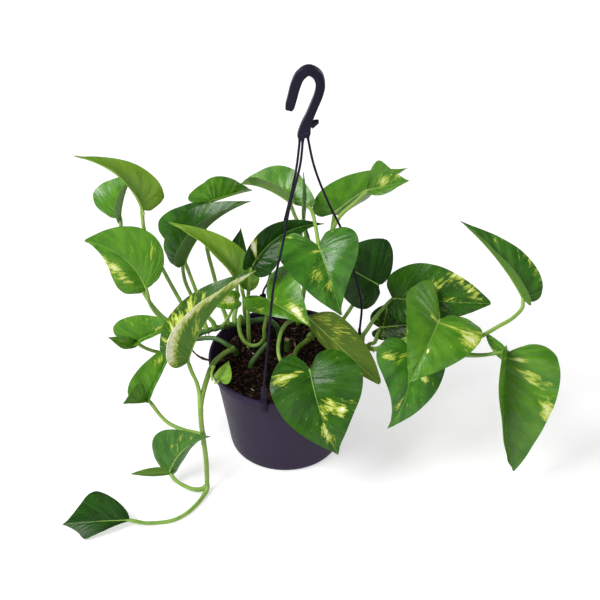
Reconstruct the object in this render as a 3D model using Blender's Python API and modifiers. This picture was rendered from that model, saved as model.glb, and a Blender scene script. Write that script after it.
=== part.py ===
"""A trailing, variegated scindapsus in a hanging pot, standing on a floor.

Metres, +Z up. The origin is the centre of the pot's base, on the floor; the front
is -Y. Every length below is typed in millimetres and scaled once, in `add_mesh`.
"""

import bmesh
import bpy
import numpy as np

MM = 0.001
COLLECTION = "potted_scindapsus"

# --- sizes -------------------------------------------------------------------
POT_PROFILE = (  # outside from the base up, over the rim, then the inside down: r, z
    (0.0, 0.0), (50.0, 0.0), (54.0, 1.2), (57.0, 4.0), (58.5, 9.0), (59.5, 18.0),
    (61.0, 32.0), (63.0, 46.0), (65.5, 62.0), (68.3, 80.0), (71.0, 97.0), (71.2, 98.0),
    (74.6, 98.4), (75.0, 99.0), (75.0, 104.4), (74.4, 105.0), (72.4, 105.0), (72.0, 104.4),
    (69.2, 97.0), (66.2, 80.0), (63.4, 62.0), (61.0, 46.0), (59.0, 32.0), (57.4, 18.0),
    (55.0, 8.0), (48.0, 3.0), (0.0, 3.0),
)
POT_STEPS = 40
SOIL_PROFILE = (  # r, z, 0.3 mm inside the pot all round
    (0.0, 3.4), (47.6, 3.4), (54.4, 8.3), (57.0, 18.0), (58.6, 32.0), (60.6, 46.0),
    (63.0, 62.0), (65.8, 80.0), (68.4, 95.0), (62.0, 96.0), (0.0, 96.0),
)
SOIL_TOP = 96.0
RIM_R = 75.0
GAP = 0.45  # between a stem's cut end and what it grows from
BLADE_THICKNESS = 0.7
PETIOLE_R = 1.9
MERGE = 0.00001  # m
UNDER = 1.2  # how far the petiole's centre line runs below the blade

# The leaf's outline from the joint round the lobe to the tip: along the midrib, and
# across it, both as fractions. Each edge point is joined to the midrib at RIB, and the
# lobe's to the joint itself.
OUTLINE = (
    (0.0, 0.02), (-0.07, 0.10), (-0.145, 0.30), (-0.13, 0.60), (-0.02, 0.86), (0.15, 1.0),
    (0.38, 0.88), (0.60, 0.60), (0.78, 0.32), (0.91, 0.11), (1.0, 0.004),
)
RIB = (0.0, 0.0, 0.0, 0.0, 0.0, 0.10, 0.24, 0.44, 0.66, 0.85, 1.0)
LOBE_ROWS = 4  # the outline's first points, which fan out from the joint
LEAST_LOBE = 0.25  # a lobe with less reach is left flat
LEAF_COLUMNS = 2  # on each side of the midrib

# --- colours: red, green, blue ----------------------------------------------
POT_COLOUR = (0.075, 0.055, 0.095)
HANGER_COLOUR = (0.030, 0.022, 0.045)
SOIL_COLOUR = (0.030, 0.016, 0.010)
LEAF_COLOUR = (0.090, 0.240, 0.030)
DARK_LEAF = (0.035, 0.130, 0.018)
STEM_COLOUR = (0.240, 0.420, 0.070)
VINE_COLOUR = (0.130, 0.290, 0.045)
BUD_COLOUR = (0.420, 0.600, 0.160)

# --- stems: radius, then the centre line ---------------------------------------
STEMS = {
    "vine_trailing": (2.5, (
        (-52, 8.5, 105.5), (-53.5, 1, 109.5), (-56, -4, 112), (-60, -10, 113.5), (-64, -18, 115.5),
        (-67.5, -28, 118.5), (-70, -37, 120), (-71.8, -44, 119.8), (-73.3, -51, 118.5), (-75.3, -59, 115.7),
        (-77.3, -67, 111), (-79, -74, 103), (-79, -79, 92), (-78, -77, 67), (-76, -78, 31), (-76, -81, 12),
        (-76, -83, 5))),
    "vine_middle_left": (2.5, (
        (-48, 11, 96), (-48.5, 10.5, 100), (-51, 9.5, 105), (-56, 10, 108), (-61, 13, 110), (-67, 17, 110.5),
        (-77, 21, 108.7), (-84, 22, 107), (-88.5, 22.3, 106))),
    "vine_back_left": (2.7, (
        (-6, 42, 96), (-8, 43, 104), (-19, 45, 113), (-30, 43, 113), (-47, 40, 112), (-65, 35, 111),
        (-80, 31, 109), (-90, 28, 107), (-97, 25, 107))),
    "vine_right": (2.5, (
        (9, 8, 96), (11, 9, 102), (20, 6, 116), (34, 2, 130), (58, -5, 129), (75, -10, 124),
        (87, -16, 125), (98, -22, 136), (107, -26, 141), (117, -29, 148), (133, -33, 148),
        (147, -36, 147), (169, -40, 139))),
    "vine_back_centre": (2.4, (
        (13, 60, 96), (13, 60, 104), (17, 63, 124), (21, 68, 158), (23, 71, 190))),
    "stem_cut": (2.7, ((-34, -8, 96), (-33, -7, 99), (-27, -2, 106), (-17, 6, 115))),
    "stem_stub": (3.0, ((2, 17, 96), (2, 17, 110))),
    "shoot": (1.7, (
        (-70.5, -40, 119.6), (-68.5, -46.5, 124.3), (-69.3, -52, 122), (-68, -55.5, 118.5))),
    "new_leaf": (1.7, ((23, 71, 190.4), (23, 71, 194), (21, 69.5, 204), (18, 65, 223), (19, 62, 251), (18, 62, 278))),
}
STEM_TIPS = {"new_leaf": 0.25, "shoot": 0.5}  # the last radius as a part of the first
STEM_PARENTS = {"shoot": "vine_trailing", "vine_trailing": "vine_middle_left"}

# What each petiole grows from: its parent and the way to go, or None for a typed start.
# name: (parent, points from the parent to the joint)
PETIOLES = {
    "leaf_top_left": ("vine_back_left", ((-88, 28, 107), (-99, 31, 138), (-115, 35, 175), (-134, 40, 228))),
    "leaf_far_left": ("vine_back_left", ((-84, 30, 108), (-101, 37, 108), (-120, 43, 116), (-138, 50, 138),
                                         (-152, 62, 180), (-160, 71, 204))),
    "leaf_left": (None, ((-98.4, 24.0, 107.2), (-107, 20, 120), (-120, 15, 137), (-130, 15, 155))),
    "leaf_low_left": ("vine_back_left", ((-94, 26, 107), (-97, 18, 103), (-108, 10, 103), (-121, 1, 107),
                                         (-134, -7, 118))),
    "leaf_front_left": ("vine_trailing", ((-78.2, -71, 106.5), (-80.3, -65, 119), (-84.5, -60.5, 128))),
    "leaf_lower_left": ("vine_trailing", ((-78, -77, 69), (-84, -75, 69), (-97, -73, 72), (-112, -68, 77),
                                          (-125, -63, 93))),
    "leaf_trail_upper": ("vine_trailing", ((-76, -82, 9), (-82, -84, 6), (-92, -87, 5), (-103, -83, 8))),
    "leaf_trail_end": (None, ((-76.6, -85.8, 3.6), (-80, -94, 3.1), (-87, -106, 2.5), (-96, -117, 2.4),
                              (-108, -125, 2.4), (-121, -128, 2.6), (-133, -130, 4.2), (-144, -130.5, 7.5))),
    "leaf_high_left": ("vine_back_left", ((-57, 37, 111), (-62, 42, 130), (-70, 50, 165), (-76, 58, 192),
                                          (-77, 66, 218))),
    "leaf_back_left": ("vine_back_left", ((-78, 31, 109), (-84, 42, 125), (-92, 47, 140), (-99, 52, 158),
                                          (-100, 57, 176))),
    "leaf_folded_left": ("vine_back_left", ((-70, 34, 110), (-76, 34, 125), (-84, 36, 145), (-90, 38, 165))),
    "leaf_centre_left": ("vine_back_left", ((-39, 42, 112), (-40, 34, 132), (-40, 26, 155))),
    "leaf_small_left": ("vine_back_left", ((-62, 36, 111), (-58, 29, 124), (-52, 25, 140))),
    "leaf_small_back": ("vine_back_left", ((-50, 40, 112), (-48, 50, 128), (-48, 56, 150))),
    "leaf_back_centre": ("soil", ((-36, 23, 96), (-36, 22.5, 104), (-36, 20, 125), (-36, 20, 152),
                                  (-35, 18, 168), (-33, 11, 190))),
    "leaf_centre": ("vine_back_centre", ((22, 70, 176), (21, 79, 188), (18, 87, 203), (19, 91, 214),
                                         (20, 87, 224), (21, 78, 230), (23, 62, 237.5), (26, 44, 245),
                                         (29, 20, 246))),
    "leaf_back_top": ("vine_back_centre", ((23, 70, 188), (15, 74, 204), (9, 75.5, 220))),
    "leaf_back_right": ("vine_back_centre", ((21, 67, 152), (32, 68, 160), (43, 69, 184), (46, 75, 202))),
    "leaf_back_right_small": ("vine_back_centre", ((20, 66, 144), (30, 64, 150), (40, 63, 180),
                                                   (47, 64, 211), (54, 64, 226), (66, 62, 241))),
    "leaf_right_back": ("soil", ((46, 26, 96), (48, 29, 104), (62, 44, 122), (80, 56, 142))),
    "leaf_right": ("vine_right", ((73, -9, 124), (75, -4, 129), (80, 2, 135), (90, 10, 147))),
    "leaf_right_dark": ("vine_right", ((80, -12, 124), (86, -6, 124), (90, 3, 127))),
    "leaf_front_right": ("vine_right", ((136, -34, 148), (139, -30, 157), (143, -34, 166))),
    "leaf_low_right": ("vine_right", ((116, -29, 147), (116.5, -36, 146))),
    "leaf_far_right": ("vine_right", ((164, -39, 141), (172, -37, 148), (184, -35, 155), (201, -28, 162),
                                      (219, -16, 166), (226, -9, 171))),
    "leaf_low_far_right": (None, ((170.1, -40.4, 138.6), (178, -42, 139), (189, -44, 141), (200, -45, 144))),
    "leaf_front": ("vine_right", ((35, 1.5, 130), (31, 3.5, 138), (22, 6, 142.5), (12, 6, 144), (3, 1, 144),
                                  (-2, -8, 143.5), (-5, -20, 141), (-6, -30, 138), (-5, -38, 134), (-1, -44, 129),
                                  (9, -49, 126))),
    "leaf_underside": ("vine_right", ((28, 4, 124), (27, -2, 134), (24, -9, 150))),
    "leaf_middle": ("vine_back_left", ((-43, 40, 112), (-43, 33, 122), (-44, 28, 130), (-45, 24, 128),
                                       (-45, 21, 120), (-43, 18, 113), (-39, 15, 108), (-33, 13, 105.5),
                                       (-27, 12, 107), (-22, 11, 113), (-20, 8, 132), (-17, 5, 152))),
    "leaf_bud": (None, ((-66.2, -56.4, 117.4), (-64.9, -56.1, 116.9))),
}

# --- leaves ---------------------------------------------------------------------
# joint and tip in mm; faces: where the upper side looks, as compass (0 = +X, 90 = +Y)
# and height in degrees; half: greatest width left and right of the midrib. The rest,
# as (left, right): lobe = reach behind the joint, shift = slant towards the tip,
# point = narrowing towards the tip, full = roundness, fold = rise of each half.
LEAVES = {
    "leaf_top_left": dict(joint=(-134, 40, 249), tip=(-190, 20, 322), faces=(-50, 15), half=(28, 28),
                          arch=0.05, sway=0.11, fold=(60, 10), lobe=(0, 0.4), shift=(0.15, 0),
                          point=(0, 0.45), twist=35),
    "leaf_far_left": dict(joint=(-161, 75, 215), tip=(-145, 90, 260), faces=(-100, 20), half=(31, 25),
                          arch=0.05, sway=-0.05, fold=(0, 80), lobe=(0, 0), shift=(0.2, 0.15), twist=-30),
    "leaf_left": dict(joint=(-133, 15, 174), tip=(-190, 30, 220), faces=(-80, 30), half=(24, 36), arch=0.05,
                      sway=0.14, fold=(10, 10), lobe=(0, 0), shift=(0.1, 0.3), colour=1, full=(0, 0.3)),
    "leaf_low_left": dict(joint=(-143, -15, 133), tip=(-101, -22, 160), faces=(-105, 20), half=(26, 12),
                          arch=-0.12, fold=(0, 85), lobe=(0.9, 0.5), shift=(-0.25, 0)),
    "leaf_low_left/lobe": dict(joint=(-142, -15, 132), tip=(-166, -35, 155), faces=(-50, 10),
                               half=(8, 5), full=(0.2, 0.2), shift=(0.3, 0.3), arch=0.02),
    "leaf_front_left": dict(joint=(-91, -55, 142), tip=(-26, -25, 226), faces=(180, 40), half=(35, 38),
                            arch=0.095, fold=(52, 52), lobe=(0.1, 0), shift=(0, 0.1)),
    "leaf_lower_left": dict(joint=(-130, -60, 99), tip=(-103, -10, 136), faces=(-80, 50), half=(23, 10),
                            fold=(10, 80), shift=(-0.05, 0), lobe=(0.3, 0)),
    "leaf_lower_left/lobe": dict(joint=(-131, -61, 99), tip=(-150, -85, 116), faces=(-25, 25),
                                 half=(2, 18), full=(0, 0.2), shift=(0, 0.25), lobe=(0, 0)),
    "leaf_trail_upper": dict(joint=(-113, -75, 17), tip=(-70, -86, 75), faces=(-100, 30), half=(28, 10),
                             fold=(10, -60), sway=-0.1, lobe=(0.3, 0), shift=(0.25, 0), point=(-0.2, 0)),
    "leaf_trail_upper/lobe": dict(joint=(-112, -75, 18), tip=(-149, -90, 30), faces=(120, -35),
                                  half=(5.5, 3.5), full=(0.3, 0.3), shift=(0.2, 0.2)),
    "leaf_trail_end": dict(joint=(-148, -131, 9), tip=(-212, -132, 4), faces=(-80, 55), half=(9.5, 29),
                           arch=0.08, fold=(12, 22), lobe=(0, 0.2), shift=(0.55, 0.35), point=(-1.2, 0),
                           colour=1),
    "leaf_high_left": dict(joint=(-71, 72, 237), tip=(-33, 112, 223), faces=(-30, 40), half=(22, 20),
                           arch=0.12, fold=(0, 85), lobe=(2.2, 0.5)),
    "leaf_back_left": dict(joint=(-97, 60, 188), tip=(-70, 90, 233), faces=(-90, 35), half=(36, 20),
                           fold=(5, 85), lobe=(0, 0.2), shift=(0.1, 0)),
    "leaf_folded_left": dict(joint=(-97, 40, 187), tip=(-32, 55, 249), faces=(-175, 45), half=(31, 28),
                             arch=0.13, fold=(45, 44), lobe=(0.4, 0), shift=(0, 0.14), colour=1),
    "leaf_centre_left": dict(joint=(-41, 20, 172), tip=(-108, 20, 249), faces=(-65, 20), half=(24, 21),
                             arch=0.05, sway=0.09, fold=(75, 10), lobe=(0, 0), shift=(0.15, 0)),
    "leaf_small_left": dict(joint=(-47, 20, 157), tip=(-77, 10, 159), faces=(-70, 40), half=(9, 10),
                            arch=0.12, fold=(12, 12)),
    "leaf_small_back": dict(joint=(-47, 60, 173), tip=(-43, 70, 207), faces=(-95, 15), half=(12, 9),
                            fold=(10, 10), lobe=(0.5, 0.5), colour=1),
    "leaf_back_centre": dict(joint=(-30, 4, 210.5), tip=(37, 30, 240), faces=(-95, 35), half=(19, 20),
                             arch=0.05, sway=-0.14, fold=(58, 10), lobe=(0.2, 0), twist=-50, colour=1),
    "leaf_centre": dict(joint=(32, -5, 240), tip=(53, -50, 194), faces=(-95, 45), half=(40, 40), arch=0.12,
                        fold=(10, 10), lobe=(1, 1.4), shift=(0, -0.1), point=(0.55, 0.2), twist=-20,
                        full=(0, 0.25)),
    "leaf_back_top": dict(joint=(5, 75, 234), tip=(-35, 120, 216), faces=(155, 70), half=(26, 29), arch=0.1,
                          fold=(68, 40), lobe=(0.9, 2.0), point=(0, -0.3)),
    "leaf_back_right": dict(joint=(49, 80, 218), tip=(119, 95, 260), faces=(-100, 30), half=(26, 22),
                            arch=0.05, sway=-0.04, fold=(10, -70), lobe=(1, 0), shift=(-0.08, 0.1)),
    "leaf_back_right_small": dict(joint=(79, 60, 258), tip=(117, 46, 278), faces=(-125, 25), half=(26, 8),
                                  fold=(20, 20), lobe=(0, 0.2), shift=(0.38, 0.2)),
    "leaf_right_back": dict(joint=(92, 50, 153), tip=(33, 60, 186), faces=(-80, 30), half=(31, 43),
                            fold=(10, 10), lobe=(0.6, 0.7), shift=(0, 0.1), colour=1, full=(0, -0.2)),
    "leaf_right": dict(joint=(104, 20, 159), tip=(197, 0, 168), faces=(-105, 35), half=(34, 23), arch=0.1,
                       fold=(4, 14), lobe=(0.9, 0.4), shift=(0.15, 0.1), point=(-0.2, 0), full=(0.45, 0.4)),
    "leaf_right_dark": dict(joint=(93, 10, 131), tip=(150, 0, 146), faces=(-110, 35), half=(22, 14),
                            fold=(10, 10), colour=1),
    "leaf_front_right": dict(joint=(146, -30, 173), tip=(115, -82, 138), faces=(-70, 55), half=(43, 39),
                             arch=0.12, fold=(10, 10), lobe=(0.8, 2.0), shift=(-0.12, -0.25), point=(0, 0.4),
                             full=(0, 0.2)),
    "leaf_low_right": dict(joint=(117, -37, 147), tip=(98, -72, 72), faces=(-90, 25), half=(36, 34),
                           arch=0.12, sway=-0.1, fold=(10, 10), lobe=(0.3, 0.3), point=(0.25, 0.5)),
    "leaf_far_right": dict(joint=(227, -5, 178), tip=(165, 25, 247), faces=(-5, 45), half=(13, 27), arch=0.05,
                           fold=(50, 50), lobe=(0, 0.1)),
    "leaf_low_far_right": dict(joint=(209, -45, 145), tip=(221, -85, 29), faces=(-90, 20), half=(52, 36),
                               arch=0.1, sway=0.05, fold=(5, 76), lobe=(0, 0.3), full=(0.3, 0)),
    "leaf_front": dict(joint=(24, -55, 132), tip=(51, -95, 60), faces=(-85, 30), half=(48, 41),
                       arch=0.12, sway=0.04, fold=(8, 8), lobe=(1.1, 1.1)),
    "leaf_underside": dict(joint=(21.4, -15, 165), tip=(91, -45, 106), faces=(95, -35), half=(12, 21),
                           arch=0.05, fold=(30, 5), lobe=(0.2, 0.2), full=(0.5, 0.45), shift=(0.3, 0.2),
                           point=(0, -0.2)),
    "leaf_middle": dict(joint=(-16, 0, 174), tip=(25, -35, 168), faces=(-125, 50), half=(37, 22),
                        arch=0.12, fold=(8, 25), lobe=(1.2, 2), shift=(-0.08, -0.3), point=(0, 0.6)),
    "leaf_bud": dict(joint=(-61, -53.5, 118.5), tip=(-53, -40, 130), faces=(-60, 35), half=(9, 9),
                     arch=0.1, fold=(20, 20), lobe=(0.5, 0.5), colour=2),
}

# --- hanger ---------------------------------------------------------------------
HOOK_DEPTH = 7.0
HOOK_OUTLINE = (  # x, z of the flat moulding, round the outside and back along the inside
    (12.2, 357.5), (14.0, 354.2), (23.0, 359.2), (25.0, 363.0), (30.8, 369.2), (31.2, 371.0),
    (29.6, 371.8), (26.4, 371.4), (30.0, 385.0), (34.0, 396.0), (36.0, 404.0), (36.2, 410.0),
    (34.6, 416.0), (31.0, 420.6), (27.0, 424.0), (22.0, 426.0), (18.0, 425.4), (14.0, 423.0),
    (9.4, 416.4), (6.6, 409.0), (4.0, 397.0), (1.6, 385.0), (3.0, 382.4), (7.6, 381.0),
    (9.4, 383.4), (12.2, 394.0), (14.8, 404.0), (16.4, 410.4), (19.0, 414.8), (22.2, 416.4),
    (25.2, 415.0), (27.2, 411.6), (28.0, 406.0), (27.4, 399.0), (24.0, 389.0), (19.6, 376.8),
    (14.4, 364.0),
)
ROD_R = 1.15
RODS = {
    "rod_front": ((17.4, -0.6, 355.4), (15.6, -3.4, 333), (5, -13, 287), (-1, -22, 254), (-9, -35, 219),
                  (-15, -59, 164), (-17.5, -69, 142), (-19.2, -72.6, 124)),
    "rod_back_left": ((14.8, 1.8, 354.0), (12.2, 10, 321.5), (-1, 30, 238.3), (-12, 48, 179.3),
                      (-17.2, 60, 148.4), (-23.0, 71.4, 124)),
    "rod_right": ((20.9, 1.0, 357.4), (27, 4, 323), (42, 8, 276), (52, 10, 251), (66, 12, 198),
                  (74.4, 13.4, 153), (75.4, 13.4, 124)),
}
CLIP_WIDTH = 6.4
CLIP_PROFILE = (  # r, z of the clip: a neck, and a foot that straddles the rim and grips under it
    (73.2, 125.0), (73.2, 112.0), (72.2, 109.0), (69.3, 108.4), (69.0, 101.5), (70.2, 101.5),
    (71.3, 105.5), (75.5, 105.5), (75.5, 97.9), (72.4, 97.7), (72.4, 95.2), (77.7, 95.2),
    (77.9, 107.0), (76.9, 110.0), (75.4, 112.0), (75.4, 125.0),
)


def unit(vector):
    """The vector, or each row of vectors, at length 1."""
    vector = np.asarray(vector, float)
    return vector / np.linalg.norm(vector, axis=-1, keepdims=True)


def smooth(points, t):
    """A smooth curve through the points, read at t from 0 to 1 along its chords."""
    p = np.asarray(points, float)
    gaps = np.linalg.norm(np.diff(p, axis=0), axis=1)
    at = np.concatenate([[0.0], np.cumsum(gaps)])
    slope = np.diff(p, axis=0) / gaps[:, None]
    before, after = gaps[:-1, None], gaps[1:, None]
    middle = (slope[1:] * before + slope[:-1] * after) / (before + after)
    way = np.vstack([slope[:1], middle, slope[-1:]])
    s = np.clip(np.asarray(t, float), 0, 1) * at[-1]
    i = np.clip(np.searchsorted(at, s, side="right") - 1, 0, len(gaps) - 1)
    h = gaps[i][:, None]
    f = (s - at[i])[:, None] / h
    g = 1 - f
    return p[i] * (1 + 2 * f) * g**2 + p[i + 1] * (3 - 2 * f) * f**2 + h * f * g * (way[i] * g - way[i + 1] * f)


def heading(compass, height):
    """The unit vector that looks this way, from two angles in degrees."""
    a, e = np.radians([compass, height])
    return np.array([np.cos(e) * np.cos(a), np.cos(e) * np.sin(a), np.sin(e)])


def collection(name, hidden=False):
    """A collection of the scene, made once; a hidden one holds Boolean operands."""
    found = bpy.data.collections.get(name)
    if found is None:
        found = bpy.data.collections.new(name)
        bpy.context.scene.collection.children.link(found)
        found.hide_render = hidden
    return found


def material(colour):
    """A plain Principled material of this colour."""
    name = "colour_" + "_".join(f"{round(1000 * c):03d}" for c in colour)
    found = bpy.data.materials.get(name)
    if found is None:
        found = bpy.data.materials.new(name)
        found.use_nodes = True
        shader = found.node_tree.nodes["Principled BSDF"]
        shader.inputs["Base Color"].default_value = (*colour, 1)
        shader.inputs["Roughness"].default_value = 0.5
        found.diffuse_color = (*colour, 1)
    return found


def add_mesh(name, points, faces, colour, helper=False):
    """An object from points in mm; a helper is only ever joined into another object."""
    mesh = bpy.data.meshes.new(name)
    mesh.from_pydata([tuple(MM * c for c in p) for p in points], [], [tuple(f) for f in faces])
    mesh.materials.append(material(colour))
    obj = bpy.data.objects.new(name, mesh)
    if helper:
        collection("joined", hidden=True).objects.link(obj)
        obj.hide_render = True
        obj.display_type = "WIRE"
    else:
        collection(COLLECTION).objects.link(obj)
    return obj


def turned(name, profile, steps, colour):
    """A solid of revolution about Z from (r, z) points running up the outside."""
    points = [(r, 0, z) for r, z in reversed(profile)]
    mesh = bpy.data.meshes.new(name)
    mesh.from_pydata([tuple(MM * c for c in p) for p in points],
                     [(n, n + 1) for n in range(len(points) - 1)], [])
    mesh.materials.append(material(colour))
    obj = bpy.data.objects.new(name, mesh)
    collection(COLLECTION).objects.link(obj)
    screw = obj.modifiers.new("turn", "SCREW")
    screw.axis = "Z"
    screw.steps = screw.render_steps = steps
    screw.use_merge_vertices = True
    screw.merge_threshold = MERGE
    return obj


def add_curve(name, points, radii, depth, colour, helper=False):
    """A round bar as a bevelled curve through points in mm, with closed ends."""
    curve = bpy.data.curves.new(name, "CURVE")
    curve.dimensions = "3D"
    curve.bevel_depth = depth * MM
    curve.bevel_resolution = 1
    curve.use_fill_caps = True
    spline = curve.splines.new("POLY")
    spline.points.add(len(points) - 1)
    for place, point, radius in zip(spline.points, points, radii):
        place.co = (*(MM * c for c in point), 1)
        place.radius = radius
    curve.materials.append(material(colour))
    obj = bpy.data.objects.new(name, curve)
    collection("joined" if helper else COLLECTION, hidden=helper).objects.link(obj)
    return as_mesh(obj) if helper else obj


def as_mesh(obj):
    """The curve object made a closed mesh object, for a Boolean."""
    bpy.context.view_layer.update()
    evaluated = obj.evaluated_get(bpy.context.evaluated_depsgraph_get())
    mesh = bpy.data.meshes.new_from_object(evaluated)
    shape = bmesh.new()
    shape.from_mesh(mesh)
    bmesh.ops.remove_doubles(shape, verts=shape.verts, dist=MERGE)
    bmesh.ops.recalc_face_normals(shape, faces=shape.faces)
    shape.to_mesh(mesh)
    shape.free()
    name = obj.name
    made = bpy.data.objects.new(name + "_mesh", mesh)
    made.matrix_world = obj.matrix_world
    collection("joined", hidden=True).objects.link(made)
    made.hide_render = True
    made.display_type = "WIRE"
    bpy.data.objects.remove(obj)
    return made


def tube(name, path, radius, colour, end=1.0, step=9.0, helper=False, square=False):
    """A round stem along a smooth path, with closed ends; `end` scales the last radius.

    A square start is cut across the way to the path's second point.
    """
    path = np.asarray(path, float)
    length = np.linalg.norm(np.diff(path, axis=0), axis=1).sum()
    count = max(2, int(round(length / step))) + 1
    line = smooth(path, np.linspace(0, 1, count))
    if square:
        first = path[0] + 2.5 * unit(path[1] - path[0])
        line = np.vstack([line[:1], first, line[1:]])
    radii = np.linspace(1, end, len(line))
    return add_curve(name, line, radii, radius, colour, helper)


def blade_points(joint, tip, faces, half, arch=0.0, sway=0.0, twist=0.0, fold=(12, 12), lobe=(1, 1),
                 shift=(0, 0), point=(0, 0), full=(0, 0), colour=0, columns=LEAF_COLUMNS):
    """The upper face of a leaf as a grid: rows from the joint round to the tip, across both halves.

    Returns the points and the leaf's two directions at the joint, along and out of the face.
    """
    joint, tip = np.array(joint, float), np.array(tip, float)
    length = np.linalg.norm(tip - joint)
    chord = (tip - joint) / length
    looks = heading(*faces)
    out0 = unit(looks - (looks @ chord) * chord)
    right0 = np.cross(chord, out0)
    edge, rib = np.array(OUTLINE), np.array(RIB)[:, None]
    v = np.linspace(-1, 1, 2 * columns + 1)[None, :]
    across, side = np.abs(v), np.where(v < 0, -1.0, 1.0)

    def pick(pair):
        return np.where(side < 0, pair[0], pair[1])

    ey = np.clip(edge[:, 1:], 0, None) ** (1 - pick(full))
    ex = edge[:, :1]
    ex = np.where(ex < 0, ex * pick(lobe), ex) + pick(shift) * ey * (1 - np.clip(ex, 0, 1))
    x = rib + across * (ex - rib)
    y = across * ey * pick(half) * (1 - pick(point) * np.clip(x, 0, 1))
    bow = arch * out0 + sway * right0
    s = x[..., None]
    place = joint + length * np.where(s < 0, s * (chord + 4 * bow), chord * s + bow * 4 * s * (1 - s))
    ahead = unit(np.where(s < 0, chord + 4 * bow, chord + bow * 4 * (1 - 2 * s)))
    out = unit(out0 - (ahead @ out0)[..., None] * ahead)
    turn = np.radians(twist * np.clip(x, 0, 1))[..., None]
    right = np.cross(ahead, out)
    out, right = out * np.cos(turn) + right * np.sin(turn), right * np.cos(turn) - out * np.sin(turn)
    rise = np.radians(pick(fold))
    grid = place + right * (side * y * np.cos(rise))[..., None] + out * (y * np.sin(rise))[..., None]
    return grid, unit(chord + 4 * bow), out0


def add_blade(name, values, helper=False):
    """A leaf's blade as a thin solid: the grid, thickened behind its upper face."""
    grid, _, _ = blade_points(**values)
    high, wide = grid.shape[:2]
    middle = wide // 2
    index = np.arange(high * wide).reshape(high, wide)
    index[: LOBE_ROWS + 1, middle] = middle
    index[-1] = index[-1, middle]
    faces = []
    for j in range(wide - 1):
        reach = values.get("lobe", (1, 1))[j >= middle]
        rows = list(range(LOBE_ROWS if reach < LEAST_LOBE else 1, high))
        for i, k in zip(rows, rows[1:]):
            face = list(dict.fromkeys((index[i, j], index[i, j + 1], index[k, j + 1], index[k, j])))
            if len(face) > 2:
                faces.append(face)
    used = sorted({n for face in faces for n in face})
    place = {n: m for m, n in enumerate(used)}
    points = grid.reshape(-1, 3)[used]
    colour = (LEAF_COLOUR, DARK_LEAF, BUD_COLOUR)[values.get("colour", 0)]
    obj = add_mesh(name, points, [[place[n] for n in face] for face in faces], colour, helper=helper)
    thick = obj.modifiers.new("thickness", "SOLIDIFY")
    thick.thickness = BLADE_THICKNESS * MM
    thick.offset = -1
    return obj


def join(obj, other):
    """Joins a helper into the object with a Boolean modifier."""
    boolean = obj.modifiers.new("join_" + other.name, "BOOLEAN")
    boolean.operation = "UNION"
    boolean.solver = "EXACT"
    boolean.use_self = True
    boolean.object = other


def nearest_on(parent, point):
    """The nearest place on a stem's centre line, and the stem's direction there."""
    line = smooth(STEMS[parent][1], np.linspace(0, 1, 400))
    n = int(np.argmin(np.linalg.norm(line - point, axis=1)))
    n = min(max(n, 1), 398)
    return line[n], unit(line[n + 1] - line[n - 1])


def started(parent, typed):
    """The typed centre line, starting just clear of what it grows from."""
    path = [np.array(p, float) for p in typed]
    if parent == "soil":
        path[0][2] = SOIL_TOP + GAP
        path.insert(1, path[0] + (0, 0, 2.5))
    elif parent is not None:
        centre, along = nearest_on(parent, path[0])
        away = path[1] - centre
        away = unit(away - (away @ along) * along)
        start = centre + away * (STEMS[parent][0] + GAP)
        path = [start, start + 2.5 * away] + path[1:]
    return path


def petiole_path(name):
    """The petiole's centre line, from what it grows from into the blade."""
    path = started(*PETIOLES[name])
    values = LEAVES[name]
    joint = np.array(values["joint"], float)
    _, ahead, out = blade_points(**values)
    below = joint - UNDER * out
    run = 6.0 if (below - path[-1]) @ ahead > 0 else 2.5
    path += [below, below + run * ahead]
    return path


def add_leaf(name):
    """A leaf: its blade, any second lobe and its petiole, joined into one body."""
    obj = add_blade(name, LEAVES[name])
    path = petiole_path(name)
    stalk = tube(name + "_petiole", path, PETIOLE_R, STEM_COLOUR, end=0.75, step=11.0, helper=True,
                 square=PETIOLES[name][0] is not None)
    join(obj, stalk)
    if name + "/lobe" in LEAVES:
        values = dict(LEAVES[name + "/lobe"], joint=0.6 * path[-2] + 0.4 * path[-1])
        join(obj, add_blade(name + "_lobe", values, helper=True))


def add_stem(name):
    """A vine, stub or shoot; those in the soil start just above it."""
    radius, typed = STEMS[name]
    parent = "soil" if typed[0][2] == SOIL_TOP else STEM_PARENTS.get(name)
    colour = BUD_COLOUR if name in ("shoot", "new_leaf") else VINE_COLOUR
    tube(name, started(parent, typed), radius, colour, end=STEM_TIPS.get(name, 0.92),
         square=parent is not None)


def plate(name, outline, thickness, colour):
    """A flat outline, (right, up) in mm, as a filled curve of this thickness."""
    curve = bpy.data.curves.new(name, "CURVE")
    curve.dimensions = "2D"
    curve.fill_mode = "BOTH"
    curve.extrude = thickness * MM / 2
    spline = curve.splines.new("POLY")
    spline.points.add(len(outline) - 1)
    for place, (right, up) in zip(spline.points, outline):
        place.co = (right * MM, up * MM, 0, 1)
    spline.use_cyclic_u = True
    curve.materials.append(material(colour))
    obj = bpy.data.objects.new(name, curve)
    collection(COLLECTION).objects.link(obj)
    return obj


def add_hook():
    """The flat moulded hook that the three rods hang from."""
    obj = plate("hanger_hook", HOOK_OUTLINE, HOOK_DEPTH, HANGER_COLOUR)
    obj.rotation_euler = (np.pi / 2, 0, 0)


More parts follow.
